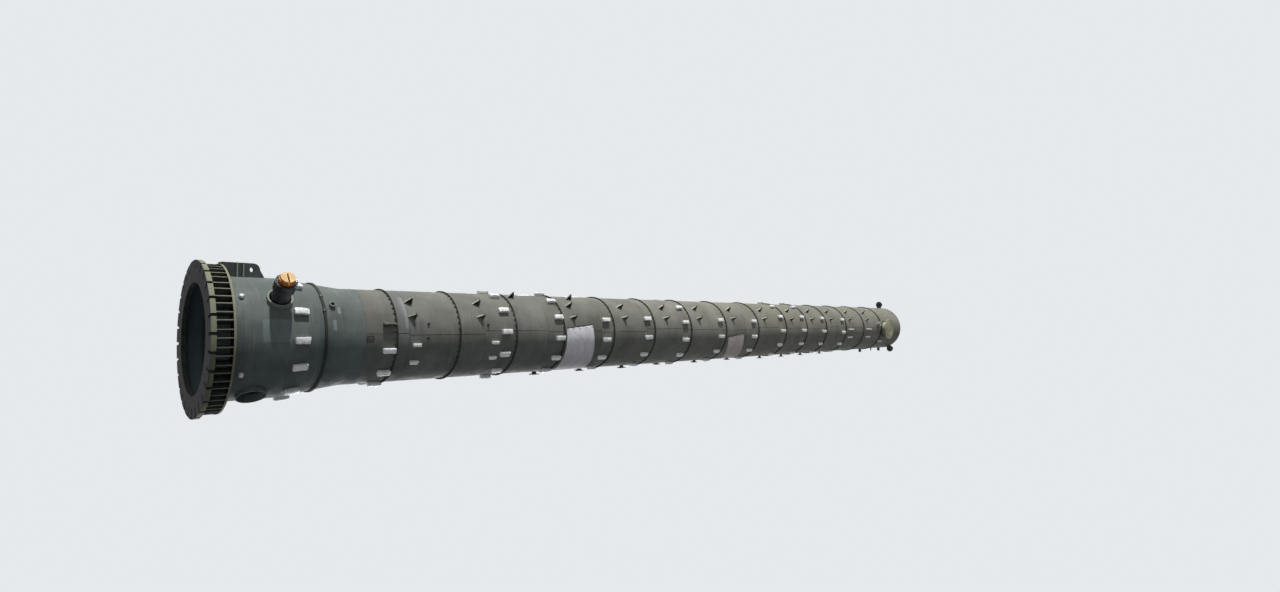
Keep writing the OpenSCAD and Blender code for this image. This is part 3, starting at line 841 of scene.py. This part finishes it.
def add_block(shape: BMesh, place: Matrix, size: tuple[float, float, float], edge: float) -> None:
    """Adds a block with eased edges.

    Args:
        shape: The shape that gets it.
        place: The frame on whose XY plane it stands.
        size: Its size along the frame's axes.
        edge: Width of its eased edges.
    """
    made = bmesh.ops.create_cube(shape, size=1.0)
    bmesh.ops.scale(shape, vec=size, verts=made["verts"])
    ease(shape, made["verts"], edges_of(made["verts"]), edge, place @ Matrix.Translation((0, 0, size[2] / 2)))


# Pieces


@dataclass
class WeldSeams:
    """Beads of the shell's round and lengthwise seams."""

    finishes: Finishes
    strake: float = 1.71  # Height of one strake of plate
    bead_w: float = 0.018
    bead_h: float = 0.0035
    root: float = 0.003  # How deep the beads are sunk in the plate
    steps: int = 120
    front_seam: float = -6.0  # Angle of the lengthwise seams that the photograph shows
    stagger: tuple[float, ...] = (0.0, 2.0, -2.0)  # Turn of each strake's seams, in order
    back_turn: float = 180.0
    ease: float = 0.0028

    def levels(self) -> list[float]:
        """Heights of the round seams.

        Returns:
            The heights from the lowest up.
        """
        top = ring_z(LAST_RING) + TOP_BAY * BAY
        count = int((top - JOIN_Z) / self.strake)
        return [JOIN_Z] + [self.strake * k for k in range(2, count + 3) if self.strake * k < top] + [top]

    def build(self) -> None:
        """Builds the round beads and the lengthwise ones between them."""
        rings, bars = bmesh.new(), bmesh.new()
        half = self.bead_w / 2
        crown = [
            (SHELL_R - 0.002, -half), (SHELL_R + self.bead_h * 0.75, -half * 0.5), (SHELL_R + self.bead_h, 0.0),
            (SHELL_R + self.bead_h * 0.75, half * 0.5), (SHELL_R - 0.002, half),
        ]
        levels = self.levels()
        for z in levels:
            spin_profile(rings, crown, self.steps, Matrix.Translation((0, 0, z)))
        add_piece("round_seams", rings, self.finishes.weld)
        for index, (low, high) in enumerate(zip(levels, levels[1:])):
            start = self.front_seam + self.stagger[index % 3]
            for angle in (start, start + self.back_turn):
                place = stand_off(angle, SHELL_R - self.root, (low + high) / 2)
                add_block(bars, place, (self.bead_w, high - low - self.bead_w, self.root + self.bead_h), self.ease)
        add_piece("long_seams", bars, self.finishes.weld)


@dataclass
class RingLugs:
    """Small welded lugs under the stiffening rings, which hold insulation later."""

    finishes: Finishes
    count: int = 48  # Lugs round one ring
    size: tuple[float, float, float] = (0.026, 0.030, 0.024)  # Round the column, up it and outwards

    def build(self) -> None:
        """Builds the lugs of all rings but the skirt's."""
        shape = bmesh.new()
        for index in range(2, LAST_RING + 1):
            z = ring_z(index) - RING_T / 2 - self.size[1] / 2
            for k in range(self.count):
                angle = 360.0 * (k + 0.5 * (index % 2)) / self.count
                add_block(shape, stand_off(angle, SHELL_R - 0.001, z), self.size, 0.004)
        add_piece("ring_lugs", shape, self.finishes.dark, smooth=False)


@dataclass
class CleatFlanges:
    """Flat bars along the sloping edges of the cleats' web plates."""

    finishes: Finishes
    angles: tuple[float, ...] = (-47.5, -26.5)  # The two lines of cleats
    rises: dict[int, float] = field(default_factory=lambda: {  # Height over each ring, by ring number
        2: 0.380, 3: 0.565, 5: 0.360, 6: 0.475, 7: 0.565, **{k: 0.470 for k in range(8, 16)}
    })
    side: tuple[tuple[float, int, float], ...] = ((-67.0, 4, 0.220), (-67.0, 5, 0.580))  # The two beside them
    reach: float = 0.130
    nose: float = 0.020  # Depth of a web at its tip
    depth: float = 0.135  # Depth of a web at the shell
    wide: float = 0.032
    thick: float = 0.007

    def build(self) -> None:
        """Builds the bars of all cleats."""
        shape = bmesh.new()
        spots = [(angle, ring, rise) for ring, rise in self.rises.items() for angle in self.angles]
        length = math.hypot(self.depth - self.nose, self.reach)
        lean = Matrix.Rotation(-math.atan2(self.depth - self.nose, self.reach), 4, "X")
        for angle, ring, rise in spots + list(self.side):
            foot = stand_off(angle, SHELL_R, ring_z(ring) + rise - self.depth - self.thick / 2)
            add_block(shape, foot @ lean, (self.wide, self.thick, length), 0.0015)
        # The bars' pale finish is a painted highlight along the cleats' sloping edges
        add_piece("cleat_flanges", shape, self.finishes.chalk_and_painted_light, smooth=False)


class FilmDetail(Enum):
    """How finely a wrapped clip is meshed: cuts along each edge."""

    NEAR = 3
    FAR = 1


@dataclass
class FilmRow:
    """One row of wrapped plates, between two heights."""

    angles: list[float]
    low: float
    high: float
    reach: float  # How far the plates stand out
    width: float  # Of each plate, in degrees
    bare_from: float = 400.0  # First angle at which they are left without film
    bare_to: float = 400.0


@dataclass
class FilmWraps:
    """Stretch film wound round the platform clips and small fittings."""

    finishes: Finishes
    # Ring number, first angle and count of each row
    rows: tuple[tuple[int, float, int], ...] = (
        (2, 14, 8), (4, -66, 12), (5, -56, 12), (6, -22, 10), (7, -24, 10), (8, -48, 11),
        (9, -22, 10), (10, -20, 10), (11, -60, 12), (12, -60, 12), (13, -27, 10), (14, -24, 10),
    )
    step: float = 30.0
    clip_h: float = 0.252
    clip_w: float = 6.4  # In degrees
    reach: float = 0.095
    drop: float = 0.140  # Distance of a row from its ring
    near_drop: float = 0.012  # The same for the rows that almost touch their ring
    near_rings: tuple[int, ...] = (2, 5)
    crumple: float = 0.007  # How far the film's folds stand out or in
    bare_ring: int = 5  # First ring under which some clips are left without film
    bare_angles: tuple[float, float] = (85.0, 112.0)
    skirt_angles: tuple[float, ...] = (-60, -27, 0, 25, 57, 90, 120, 150, 180, 210, 240, 270)
    skirt_drop: float = 0.285
    # Ring number, rise over it and angle of each fitting
    lower_spots: tuple[tuple[int, float, float], ...] = (
        (2, 0.320, 8.5), (2, 0.320, 30.5), (3, 0.765, 8), (3, 0.765, 29),
    )
    upper_spots: tuple[tuple[int, float, float], ...] = (
        (14, 0.210, 0), (14, 0.210, 19.5), (15, 0.250, 0), (15, 0.250, 20), (16, 0.030, 35),
    )
    lower_size: tuple[float, float, float] = (0.170, 0.080, 4.2)  # Length, reach and width in degrees
    upper_size: tuple[float, float, float] = (0.420, 0.060, 3.6)

    def template(self, detail: FilmDetail) -> Mesh:
        """Makes the eased and cut cube that every wrap is pressed from.

        Args:
            detail: How finely it is cut.

        Returns:
            Its mesh.
        """
        shape = bmesh.new()
        bmesh.ops.create_cube(shape, size=2.0)
        bevel(shape, list(shape.edges), 0.17, segments=2)
        long_edges = [e for e in shape.edges if e.calc_length() > 1.0]
        bmesh.ops.subdivide_edges(shape, edges=long_edges, cuts=detail.value, use_grid_fill=True)
        mesh = bpy.data.meshes.new("wrap_template")
        shape.to_mesh(mesh)
        shape.free()
        return mesh

    def press(self, shape: BMesh, template: Mesh, row: FilmRow, angle: float) -> None:
        """Adds one wrap.

        Args:
            shape: The shape that gets it.
            template: The eased cube it is pressed from.
            row: The row it belongs to.
            angle: Its angle round the column.
        """
        count = len(shape.verts)
        shape.from_mesh(template)
        shape.verts.ensure_lookup_table()
        seed = Vector((random.uniform(0, 90), random.uniform(0, 90), random.uniform(0, 90)))
        lean = random.uniform(-0.12, 0.12)
        swell = random.uniform(0.90, 1.0)
        middle = (row.low + row.high) / 2
        half = (row.high - row.low) / 2
        for vert in shape.verts[count:]:
            x, y, z = vert.co
            wall = skirt_r(middle + y * half) - 0.002
            out = (z + 1.0) / 2.0
            # The film is pulled in at the root and round the middle, and crowned on its face
            waist = 1.0 - 0.10 * math.exp(-((y - lean) / 0.22) ** 2) * out
            tight = 0.84 + 0.16 * math.sin(min(1.0, out * 1.4) * math.pi / 2)
            crown = 1.0 - 0.10 * (y * y) - 0.06 * (x * x)
            fold = noise.noise_vector(Vector((x * 1.1, y * 1.7, z * 1.1)) + seed)
            ridge = 1.0 - abs(noise.noise(Vector((x * 2.3, y * 2.3, z * 2.3)) - seed)) * 2.0
            push = self.crumple * out
            turn = angle + row.width / 2 * x * waist * tight * swell + math.degrees(push * fold.x / SHELL_R)
            height = middle + y * half * (1.0 - 0.03 * (1.0 - out)) + push * fold.y
            radius = wall + row.reach * out * crown + push * (0.6 * ridge - 0.5)
            vert.co = polar(turn, radius, height)

    def block(self, name: str, node_name: str, rows: list[FilmRow], detail: FilmDetail) -> None:
        """Builds the wraps that stand for one CAD node.

        Args:
            name: The piece's name.
            node_name: The node's name.
            rows: The rows of wraps.
            detail: How finely they are meshed.
        """
        shape = bmesh.new()
        template = self.template(detail)
        for row in rows:
            for angle in row.angles:
                if not (row.bare_from <= angle <= row.bare_to):
                    self.press(shape, template, row, angle)
        bmesh.ops.recalc_face_normals(shape, faces=shape.faces)
        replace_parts(add_piece(name, shape, self.finishes.film), node_name)
        bpy.data.meshes.remove(template)

    def ring_row(self, index: int, first: float, count: int) -> FilmRow:
        """The row of clips under a ring.

        Args:
            index: The ring's number.
            first: Angle of the first clip.
            count: Number of clips.

        Returns:
            The row.
        """
        high = ring_z(index) - RING_T / 2 - (self.near_drop if index in self.near_rings else self.drop)
        row = FilmRow([first + self.step * k for k in range(count)], high - self.clip_h, high, self.reach, self.clip_w)
        if index >= self.bare_ring:
            row.bare_from, row.bare_to = self.bare_angles
        return row

    def fitting_rows(self, spots: tuple[tuple, ...], size: tuple[float, float, float]) -> list[FilmRow]:
        """Makes a row of one for each wrapped fitting.

        Args:
            spots: Ring number, rise over it and angle of each.
            size: Their length, reach and width in degrees.

        Returns:
            The rows.
        """
        length, reach, width = size
        rows = []
        for ring, rise, angle in spots:
            low = ring_z(ring) + rise
            rows.append(FilmRow([angle], low, low + length, reach, width))
        return rows

    def bare(self, rows: list[FilmRow]) -> None:
        """Builds the clips that stand without film: a web plate with a seat plate on its outer edge.

        Args:
            rows: All rows of clips on the shell.
        """
        shape = bmesh.new()
        web, seat = 0.018, 0.016
        for row in rows:
            middle = (row.low + row.high) / 2
            wide = math.radians(row.width) * SHELL_R
            for angle in row.angles:
                if row.bare_from <= angle <= row.bare_to:
                    foot = stand_off(angle, SHELL_R - 0.001, middle)
                    add_block(shape, foot, (web, (row.high - row.low) * 0.55, row.reach - seat), 0.002)
                    top = stand_off(angle, SHELL_R + row.reach - seat - 0.002, middle)
                    add_block(shape, top, (wide, row.high - row.low, seat), 0.003)
        add_piece("bare_clips", shape, self.finishes.cleat, smooth=False)

    def build(self) -> None:
        """Builds all wraps."""
        top = FIRST_RING - self.skirt_drop
        skirt = FilmRow(list(self.skirt_angles), top - self.clip_h, top, self.reach, self.clip_w)
        rows = [self.ring_row(*row) for row in self.rows]
        self.block("skirt_wraps", "skirt_clips", [skirt], FilmDetail.NEAR)
        self.block("lower_wraps", "lower_clips", rows[:3], FilmDetail.NEAR)
        self.block("middle_wraps", "middle_clips", rows[3:8], FilmDetail.FAR)
        self.block("upper_wraps", "upper_clips", rows[8:], FilmDetail.FAR)
        self.bare(rows)
        low = self.fitting_rows(self.lower_spots, self.lower_size)
        high = self.fitting_rows(self.upper_spots, self.upper_size)
        self.block("lower_fitting_wraps", "lower_fittings", low, FilmDetail.NEAR)
        self.block("upper_fitting_wraps", "upper_fittings", high, FilmDetail.FAR)


@dataclass
class Banner:
    """A cloth stretched round part of the shell by its eyelets."""

    finishes: Finishes
    cloth: Material
    name: str
    node_name: str
    ring: int  # The ring that its heights are counted from
    middle: float  # Angle of its middle
    corners: tuple[tuple[float, float], ...]  # Angle and rise: low left, low right, high right, high left
    wave: float  # Distance between two of its creases, as a share of its height
    depth: float  # Height of the creases
    rests: tuple[str, ...]
    seat: float = 0.0013
    across: int = 120
    along: int = 70
    thick: float = 0.0016
    eyelets_per_edge: int = 5
    eyelet_inset: float = 0.018  # From the short edges, as a share of the cloth's width
    eyelet_first: float = 0.03  # From the long edges, as a share of its height
    rope: float = 0.007  # Radius of the rope
    rope_steps: int = 48

    def corner(self, index: int) -> tuple[float, float]:
        """Side shift, in shell radii, and height of a corner."""
        angle, rise = self.corners[index]
        return math.sin(math.radians(angle - self.middle)), ring_z(self.ring) + rise

    def spot(self, u: float, v: float) -> tuple[float, float]:
        """Finds a place on the cloth.

        Args:
            u: Share of the way round it, from 0 to 1.
            v: Share of the way up it, from 0 to 1.

        Returns:
            The place's angle and height.
        """
        a, b, c, d = (self.corner(k) for k in range(4))
        side, height = ((1 - v) * ((1 - u) * a[k] + u * b[k]) + v * ((1 - u) * d[k] + u * c[k]) for k in (0, 1))
        return self.middle + math.degrees(math.asin(max(-1.0, min(1.0, side)))), height

    def lift(self, u: float, v: float) -> float:
        """How far the cloth stands off the shell: tension folds, slack between eyelets and a rolled hem.

        Args:
            u: Share of the way round the cloth.
            v: Share of the way up it.

        Returns:
            The distance from the shell.
        """
        swing = noise.noise(Vector((u * 2.6, v * 2.2, self.ring * 3.7)))
        crease = 0.5 + 0.5 * math.sin(math.tau * (v / self.wave + 0.9 * swing + 0.35 * u))
        body = math.sin(math.pi * min(1.0, max(0.0, v))) ** 0.5
        fan = math.exp(-((u * 2.4) ** 2 + (v * 2.2) ** 2)) + math.exp(-(((1 - u) * 2.4) ** 2 + ((1 - v) * 2.2) ** 2))
        pull = 0.5 + 0.5 * math.sin(26.0 * math.atan2(v + 0.04, u + 0.04))
        soft = noise.noise(Vector((u * 7.0, v * 6.0, self.ring * 1.3)))
        return self.seat + self.depth * (crease ** 2 * (0.35 + 0.65 * body) + 0.7 * fan * pull + 0.35 * (soft + 0.5))

    def flat_size(self) -> tuple[float, float]:
        """Size of the cloth laid flat.

        Returns:
            Its width round the column and its height.
        """
        a, b, c, d = self.corners
        low, high = (math.radians(abs(right[0] - left[0])) * SHELL_R for left, right in ((a, b), (d, c)))
        return (low + high) / 2, (d[1] - a[1] + c[1] - b[1]) / 2

    def eyelets(self) -> Object:
        """Builds the pressed metal eyelets along both short edges.

        Returns:
            The new piece.
        """
        shape = bmesh.new()
        ring = [(0.011, 0.0), (0.019, 0.0), (0.021, 0.003), (0.016, 0.005), (0.011, 0.003)]
        for u in (self.eyelet_inset, 1 - self.eyelet_inset):
            for k in range(self.eyelets_per_edge):
                v = self.eyelet_first + (1 - 2 * self.eyelet_first) * k / (self.eyelets_per_edge - 1)
                angle, height = self.spot(u, v)
                spin_profile(shape, ring, 14, stand_off(angle, SHELL_R + self.lift(u, v) + 0.001, height))
        return add_piece(f"{self.name}_eyelets", shape, self.finishes.zinc)

    def rope_place(self, step: int) -> Matrix:
        """Frame of a cut across the rope, turned on with its strands.

        Args:
            step: The cut's number from the lower end.

        Returns:
            The frame.
        """
        v = step / self.rope_steps
        angle, height = self.spot(-0.012, v)
        across = Matrix.Rotation(math.pi / 2, 4, "X") @ Matrix.Rotation(0.7 * step, 4, "Z")
        return stand_off(angle, SHELL_R + self.rope + 0.004 * math.sin(math.pi * v), height) @ across

    def hem_rope(self) -> Object:
        """Builds the three-strand rope laced along the cloth's first short edge.

        Returns:
            The new piece.
        """
        shape = bmesh.new()
        ring = bmesh.ops.create_circle(shape, segments=12, radius=self.rope)["verts"]
        for index, vert in enumerate(ring):
            vert.co *= (1.10, 1.0, 0.84, 1.0)[index % 4]
        edges = list(shape.edges)
        bmesh.ops.transform(shape, matrix=self.rope_place(0), verts=ring)
        for step in range(self.rope_steps):
            made = bmesh.ops.extrude_edge_only(shape, edges=edges)["geom"]
            edges = [item for item in made if isinstance(item, BMEdge) and item.is_boundary]
            ring = [item for item in made if isinstance(item, BMVert)]
            bmesh.ops.transform(shape, matrix=self.rope_place(step + 1) @ self.rope_place(step).inverted(), verts=ring)
        bmesh.ops.holes_fill(shape, edges=[e for e in shape.edges if e.is_boundary], sides=0)
        bmesh.ops.recalc_face_normals(shape, faces=shape.faces)
        return add_piece(f"{self.name}_rope", shape, self.finishes.tape)

    def build(self) -> None:
        """Builds the cloth with its eyelets and rope."""
        shape = bmesh.new()
        grid = bmesh.ops.create_grid(shape, x_segments=self.across, y_segments=self.along, size=0.5)
        uv_layer = shape.loops.layers.uv.new("cloth")
        wide, tall = self.flat_size()
        for face in shape.faces:
            for loop in face.loops:
                loop[uv_layer].uv = ((loop.vert.co.x + 0.5) * wide, (loop.vert.co.y + 0.5) * tall)
        for vert in grid["verts"]:
            u, v = vert.co.x + 0.5, vert.co.y + 0.5
            angle, height = self.spot(u, v)
            vert.co = polar(angle, SHELL_R + self.lift(u, v), height)
        for face in shape.faces:
            out = face.calc_center_median()
            if face.normal.x * out.x + face.normal.y * out.y < 0:
                face.normal_flip()
        piece = add_piece(self.name, shape, self.cloth)
        coating = piece.modifiers.new("cloth_thickness", "SOLIDIFY")
        coating.thickness, coating.offset = self.thick, 1.0
        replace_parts(piece, self.node_name)
        trim = [self.eyelets(), self.hem_rope()]


@dataclass
class OutletTrim:
    """Cover, bolts and tape edges of the bottom outlet."""

    finishes: Finishes
    angle: float = -40.0
    z: float = 1.085
    flange_r: float = 0.175
    inner: float = 1.387  # Distance of the flange pair's inner face from the column's axis
    outer: float = 1.577
    bolts: int = 16
    bolt_inset: float = 0.019  # From the flange's rim to the bolt circle
    nut: tuple[float, float] = (0.022, 0.012)  # Width across flats and height
    cover_r: float = 0.120
    cover_t: float = 0.115
    rim: float = 0.016  # Width of the cover's rim
    dome: float = 0.030  # Rounding of the cover's top
    gap: float = 0.024  # Width of the parting between the cover's halves

    def place(self, distance: float) -> Matrix:
        """Frame on the outlet's axis at a distance from the column's axis."""
        return stand_off(self.angle, distance, self.z)

    def studs(self) -> None:
        """Builds the nuts on both outer faces of the flange pair."""
        shape = bmesh.new()
        circle = self.flange_r - self.bolt_inset
        for k in range(self.bolts):
            turn = math.tau * (k + 0.5) / self.bolts
            spot = Matrix.Translation((circle * math.cos(turn), circle * math.sin(turn), 0.0))
            add_hex(shape, self.place(self.outer) @ spot, *self.nut)
            add_hex(shape, self.place(self.inner) @ spot @ Matrix.Rotation(math.pi, 4, "X"), *self.nut)
        add_piece("outlet_nuts", shape, self.finishes.tape, smooth=False)

    def half_cover(self, side: int) -> Mesh:
        """Makes one domed half of the cover.

        Args:
            side: The side of the parting that it is on, 1 or -1.

        Returns:
            Its mesh.
        """
        shape = bmesh.new()
        bmesh.ops.create_cone(
            shape, cap_ends=True, segments=56, radius1=self.cover_r, radius2=self.cover_r * 0.97, depth=self.cover_t
        )
        cut = bmesh.ops.bisect_plane(
            shape, geom=list(shape.verts) + list(shape.edges) + list(shape.faces), dist=0.0001,
            plane_co=(0, side * self.gap / 2, 0), plane_no=(0, -side, 0), clear_outer=True,
        )
        seam = [item for item in cut["geom_cut"] if isinstance(item, BMEdge)]
        bmesh.ops.holes_fill(shape, edges=seam, sides=0)
        top = [e for e in shape.edges if all(v.co.z > 0 for v in e.verts)]
        bevel(shape, top, self.dome, segments=4, clamp=True)
        bmesh.ops.transform(shape, matrix=self.place(self.outer + self.cover_t / 2), verts=shape.verts)
        mesh = bpy.data.meshes.new("half_cover")
        shape.to_mesh(mesh)
        shape.free()
        return mesh

    def cover(self) -> None:
        """Builds the cover's two halves and the rim that they sit in."""
        shape = bmesh.new()
        for side in (1, -1):
            half = self.half_cover(side)
            shape.from_mesh(half)
            bpy.data.meshes.remove(half)
        bmesh.ops.recalc_face_normals(shape, faces=shape.faces)
        halves = add_piece("cover_halves", shape, self.finishes.cover)
        for polygon in halves.data.polygons:
            polygon.use_smooth = polygon.area < 0.004
        rim = bmesh.new()
        edge = self.cover_r + self.rim
        outline = [
            (0.004, 0.0), (edge, 0.0), (edge, self.cover_t * 0.50), (edge - 0.006, self.cover_t * 0.60),
            (self.cover_r + 0.002, self.cover_t * 0.62), (self.cover_r - 0.006, self.cover_t * 0.5),
            (0.004, self.cover_t * 0.5),
        ]
        spin_profile(rim, outline, 56, self.place(self.outer))
        add_piece("cover_rim", rim, self.finishes.rim)
        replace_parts(halves, "outlet_cover")

    def build(self) -> None:
        """Builds all trim of the outlet."""
        self.studs()
        self.cover()


@dataclass
class SmallSteel:
    """Small bosses, bolts and pads on shell and skirt."""

    finishes: Finishes
    couplings: tuple[tuple[float, float], ...] = ((3.820, -16.8), (3.800, 0.6), (5.210, -15.0))  # Height and angle
    coupling_r: float = 0.024
    coupling_h: float = 0.034
    earth_angles: tuple[float, ...] = (-42.0, 30.0, 138.0, 210.0)
    earth_z: float = 0.513
    holder_angle: float = 0.5  # Of the plate holder
    holder_z: float = 2.635
    holder_half: float = 0.055  # Half the distance between its studs
    splice_angles: tuple[float, ...] = (-48.8, -30.6)  # Of the skirt ring's joints
    splice_bolt: tuple[float, float] = (0.014, 0.008)  # Width across flats and height

    def half_couplings(self) -> None:
        """Builds the couplings: short threaded collars with an open bore."""
        shape = bmesh.new()
        outer, bore, high = self.coupling_r, self.coupling_r * 0.6, self.coupling_h
        outline = [
            (0.001, 0.004), (bore, 0.004), (bore, high - 0.003), (bore + 0.002, high), (outer - 0.003, high),
            (outer, high - 0.003), (outer, -0.002), (0.001, -0.002),
        ]
        for z, angle in self.couplings:
            spin_profile(shape, outline, 20, stand_off(angle, SHELL_R, z))
        add_piece("half_couplings", shape, self.finishes.dark)

    def earth_caps(self) -> None:
        """Builds the film caps over the earthing bosses and their bolts."""
        shape = bmesh.new()
        outline = [
            (0.001, -0.002), (0.044, -0.002), (0.042, 0.018), (0.037, 0.044), (0.031, 0.054), (0.018, 0.060),
            (0.001, 0.062),
        ]
        for angle in self.earth_angles:
            spin_profile(shape, outline, 22, stand_off(angle, skirt_r(self.earth_z), self.earth_z))
        for vert in shape.verts:
            if vert.co.xy.length > FOOT_R + 0.012:
                vert.co += noise.noise_vector(vert.co * 38.0) * 0.005
        add_piece("earth_caps", shape, self.finishes.film)

    def plate_holder(self) -> None:
        """Builds the empty frame for a plate over the skirt: four flat bars on studs."""
        shape = bmesh.new()
        middle = stand_off(self.holder_angle, SHELL_R, self.holder_z)
        half = self.holder_half
        for turn in range(4):
            side = middle @ Matrix.Rotation(turn * math.pi / 2, 4, "Z")
            add_block(shape, side @ Matrix.Translation((half, 0.0, 0.010)), (0.014, 2 * half + 0.014, 0.006), 0.0015)
            add_block(shape, side @ Matrix.Translation((half, half, -0.002)), (0.010, 0.010, 0.014), 0.001)
        add_piece("plate_holder", shape, self.finishes.dark, smooth=False)

    def splice_bolts(self) -> None:
        """Builds the bolt heads on the skirt ring's joint covers."""
        shape = bmesh.new()
        rim = skirt_r(FIRST_RING) + RING_W + 0.010
        for angle in self.splice_angles:
            for turn in (-0.7, 0.7):
                for rise in (-0.014, 0.014):
                    add_hex(shape, stand_off(angle + turn, rim, FIRST_RING + rise), *self.splice_bolt)
        add_piece("splice_bolts", shape, self.finishes.zinc, smooth=False)

    def build(self) -> None:
        """Builds all small steel."""
        self.half_couplings()
        self.earth_caps()
        self.plate_holder()
        self.splice_bolts()


@dataclass
class TopTrim:
    """Weld collars of the trunnions and bolts of the top nozzle."""

    finishes: Finishes
    trunnion_z: float = ring_z(LAST_RING) + 0.26 * BAY
    trunnion_r: float = 0.300
    disc_r: float = 0.4475
    disc_face: float = 1.160  # Distance of the disc's outer face from the column's axis
    nozzle_z: float = ring_z(LAST_RING) - 0.300
    nozzle_angle: float = -12.4
    nozzle_face: float = 1.086
    nozzle_bolt_r: float = 0.092
    nozzle_bolts: int = 8
    nozzle_bolt: tuple[float, float] = (0.022, 0.014)  # Width across flats and height

    def trunnion_collars(self) -> None:
        """Builds the weld collar, the edge bead and the eye on each trunnion's disc."""
        shape = bmesh.new()
        radius = self.trunnion_r
        collar = [
            (radius - 0.016, -0.001), (radius + 0.016, -0.001), (radius + 0.010, 0.007), (radius, 0.010),
            (radius - 0.010, 0.007),
        ]
        near, far = self.disc_r - 0.020, self.disc_r - 0.001
        edge = [(near, -0.001), (far, -0.001), (far, 0.004), (near, 0.004)]
        eye = [(0.022, -0.001), (0.050, -0.001), (0.050, 0.010), (0.044, 0.014), (0.028, 0.014), (0.022, 0.010)]
        for angle in (0.0, 180.0):
            place = stand_off(angle, self.disc_face, self.trunnion_z)
            for outline in (collar, edge, eye):
                spin_profile(shape, outline, 48, place)
        add_piece("trunnion_collars", shape, self.finishes.olive)

    def flange_bolts(self) -> None:
        """Builds the bolt heads of the top nozzle's flange."""
        shape = bmesh.new()
        place = stand_off(self.nozzle_angle, self.nozzle_face, self.nozzle_z)
        for k in range(self.nozzle_bolts):
            turn = math.tau * (k + 0.5) / self.nozzle_bolts
            spot = Vector((math.cos(turn), math.sin(turn), 0.0)) * self.nozzle_bolt_r
            add_hex(shape, place @ Matrix.Translation(spot), *self.nozzle_bolt)
        add_piece("nozzle_bolts", shape, self.finishes.zinc, smooth=False)

    def build(self) -> None:
        """Builds all trim at the top."""
        self.trunnion_collars()
        self.flange_bolts()


def dress(frame: dict, finishes: Finishes) -> None:
    """Gives each carried-over CAD node its finish.

    Args:
        frame: The loaded frame.
        finishes: The column's finishes.
    """
    table = {
        finishes.shell: ("shell_course_", "top_head", "bottom_head"),
        finishes.skirt: ("skirt_panel_", "access_sleeve"),
        finishes.lug: ("tailing_lug",),
        finishes.thick: ("base_plate", "anchor_gussets", "compression_ring"),
        finishes.edge: ("outlet_sleeve", "skirt_vents", "earthing_bosses", "top_nozzle"),
        finishes.olive: ("near_trunnion", "far_trunnion"),
        finishes.dark: (
            "skirt_ring", "lower_rings", "middle_rings", "upper_rings", "davit_sockets", "side_brackets",
            "trunnion_pads",
        ),
        finishes.cleat: ("bare_clip", "lower_cleats", "middle_cleats", "upper_cleats"),
        finishes.film: (
            "skirt_clips", "lower_clips", "middle_clips", "upper_clips", "lower_fittings", "upper_fittings",
        ),
        finishes.tape: ("outlet_pipe", "outlet_flange"),
        finishes.cover: ("outlet_cover",),
        finishes.white_cloth: ("lower_banner",),
        finishes.pink_cloth: ("upper_banner",),
    }
    for name, thing in frame["nodes"].items():
        for material, starts in table.items():
            if name.startswith(starts):
                for place in thing.material_slots:
                    place.material = material
                LOG.info("node %s: %s", name, material.name)


def main() -> None:
    """Builds the dressed column on its stage."""
    logging.basicConfig(level=logging.INFO, format="%(message)s")
    random.seed(SEED)
    noise.seed_set(SEED)
    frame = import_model()
    finishes = Finishes()
    Studio().build()
    dress(frame, finishes)
    WeldSeams(finishes).build()
    RingLugs(finishes).build()
    CleatFlanges(finishes).build()
    FilmWraps(finishes).build()
    Banner(
        finishes, finishes.white_cloth, "lower_cloth", "lower_banner", ring=5, middle=33.0,
        corners=((-9, 0.068), (69, 0.144), (80, 1.208), (-14, 0.914)), wave=0.31, depth=0.007,
        rests=("shell_course_2",),
    ).build()
    Banner(
        finishes, finishes.pink_cloth, "upper_cloth", "upper_banner", ring=9, middle=40.0,
        corners=((11, 0.113), (69, 0.484), (74, 1.330), (5, 0.940)), wave=0.14, depth=0.010,
        rests=("shell_course_4",),
    ).build()
    OutletTrim(finishes).build()
    SmallSteel(finishes).build()
    TopTrim(finishes).build()


if __name__ == "__main__":
    main()
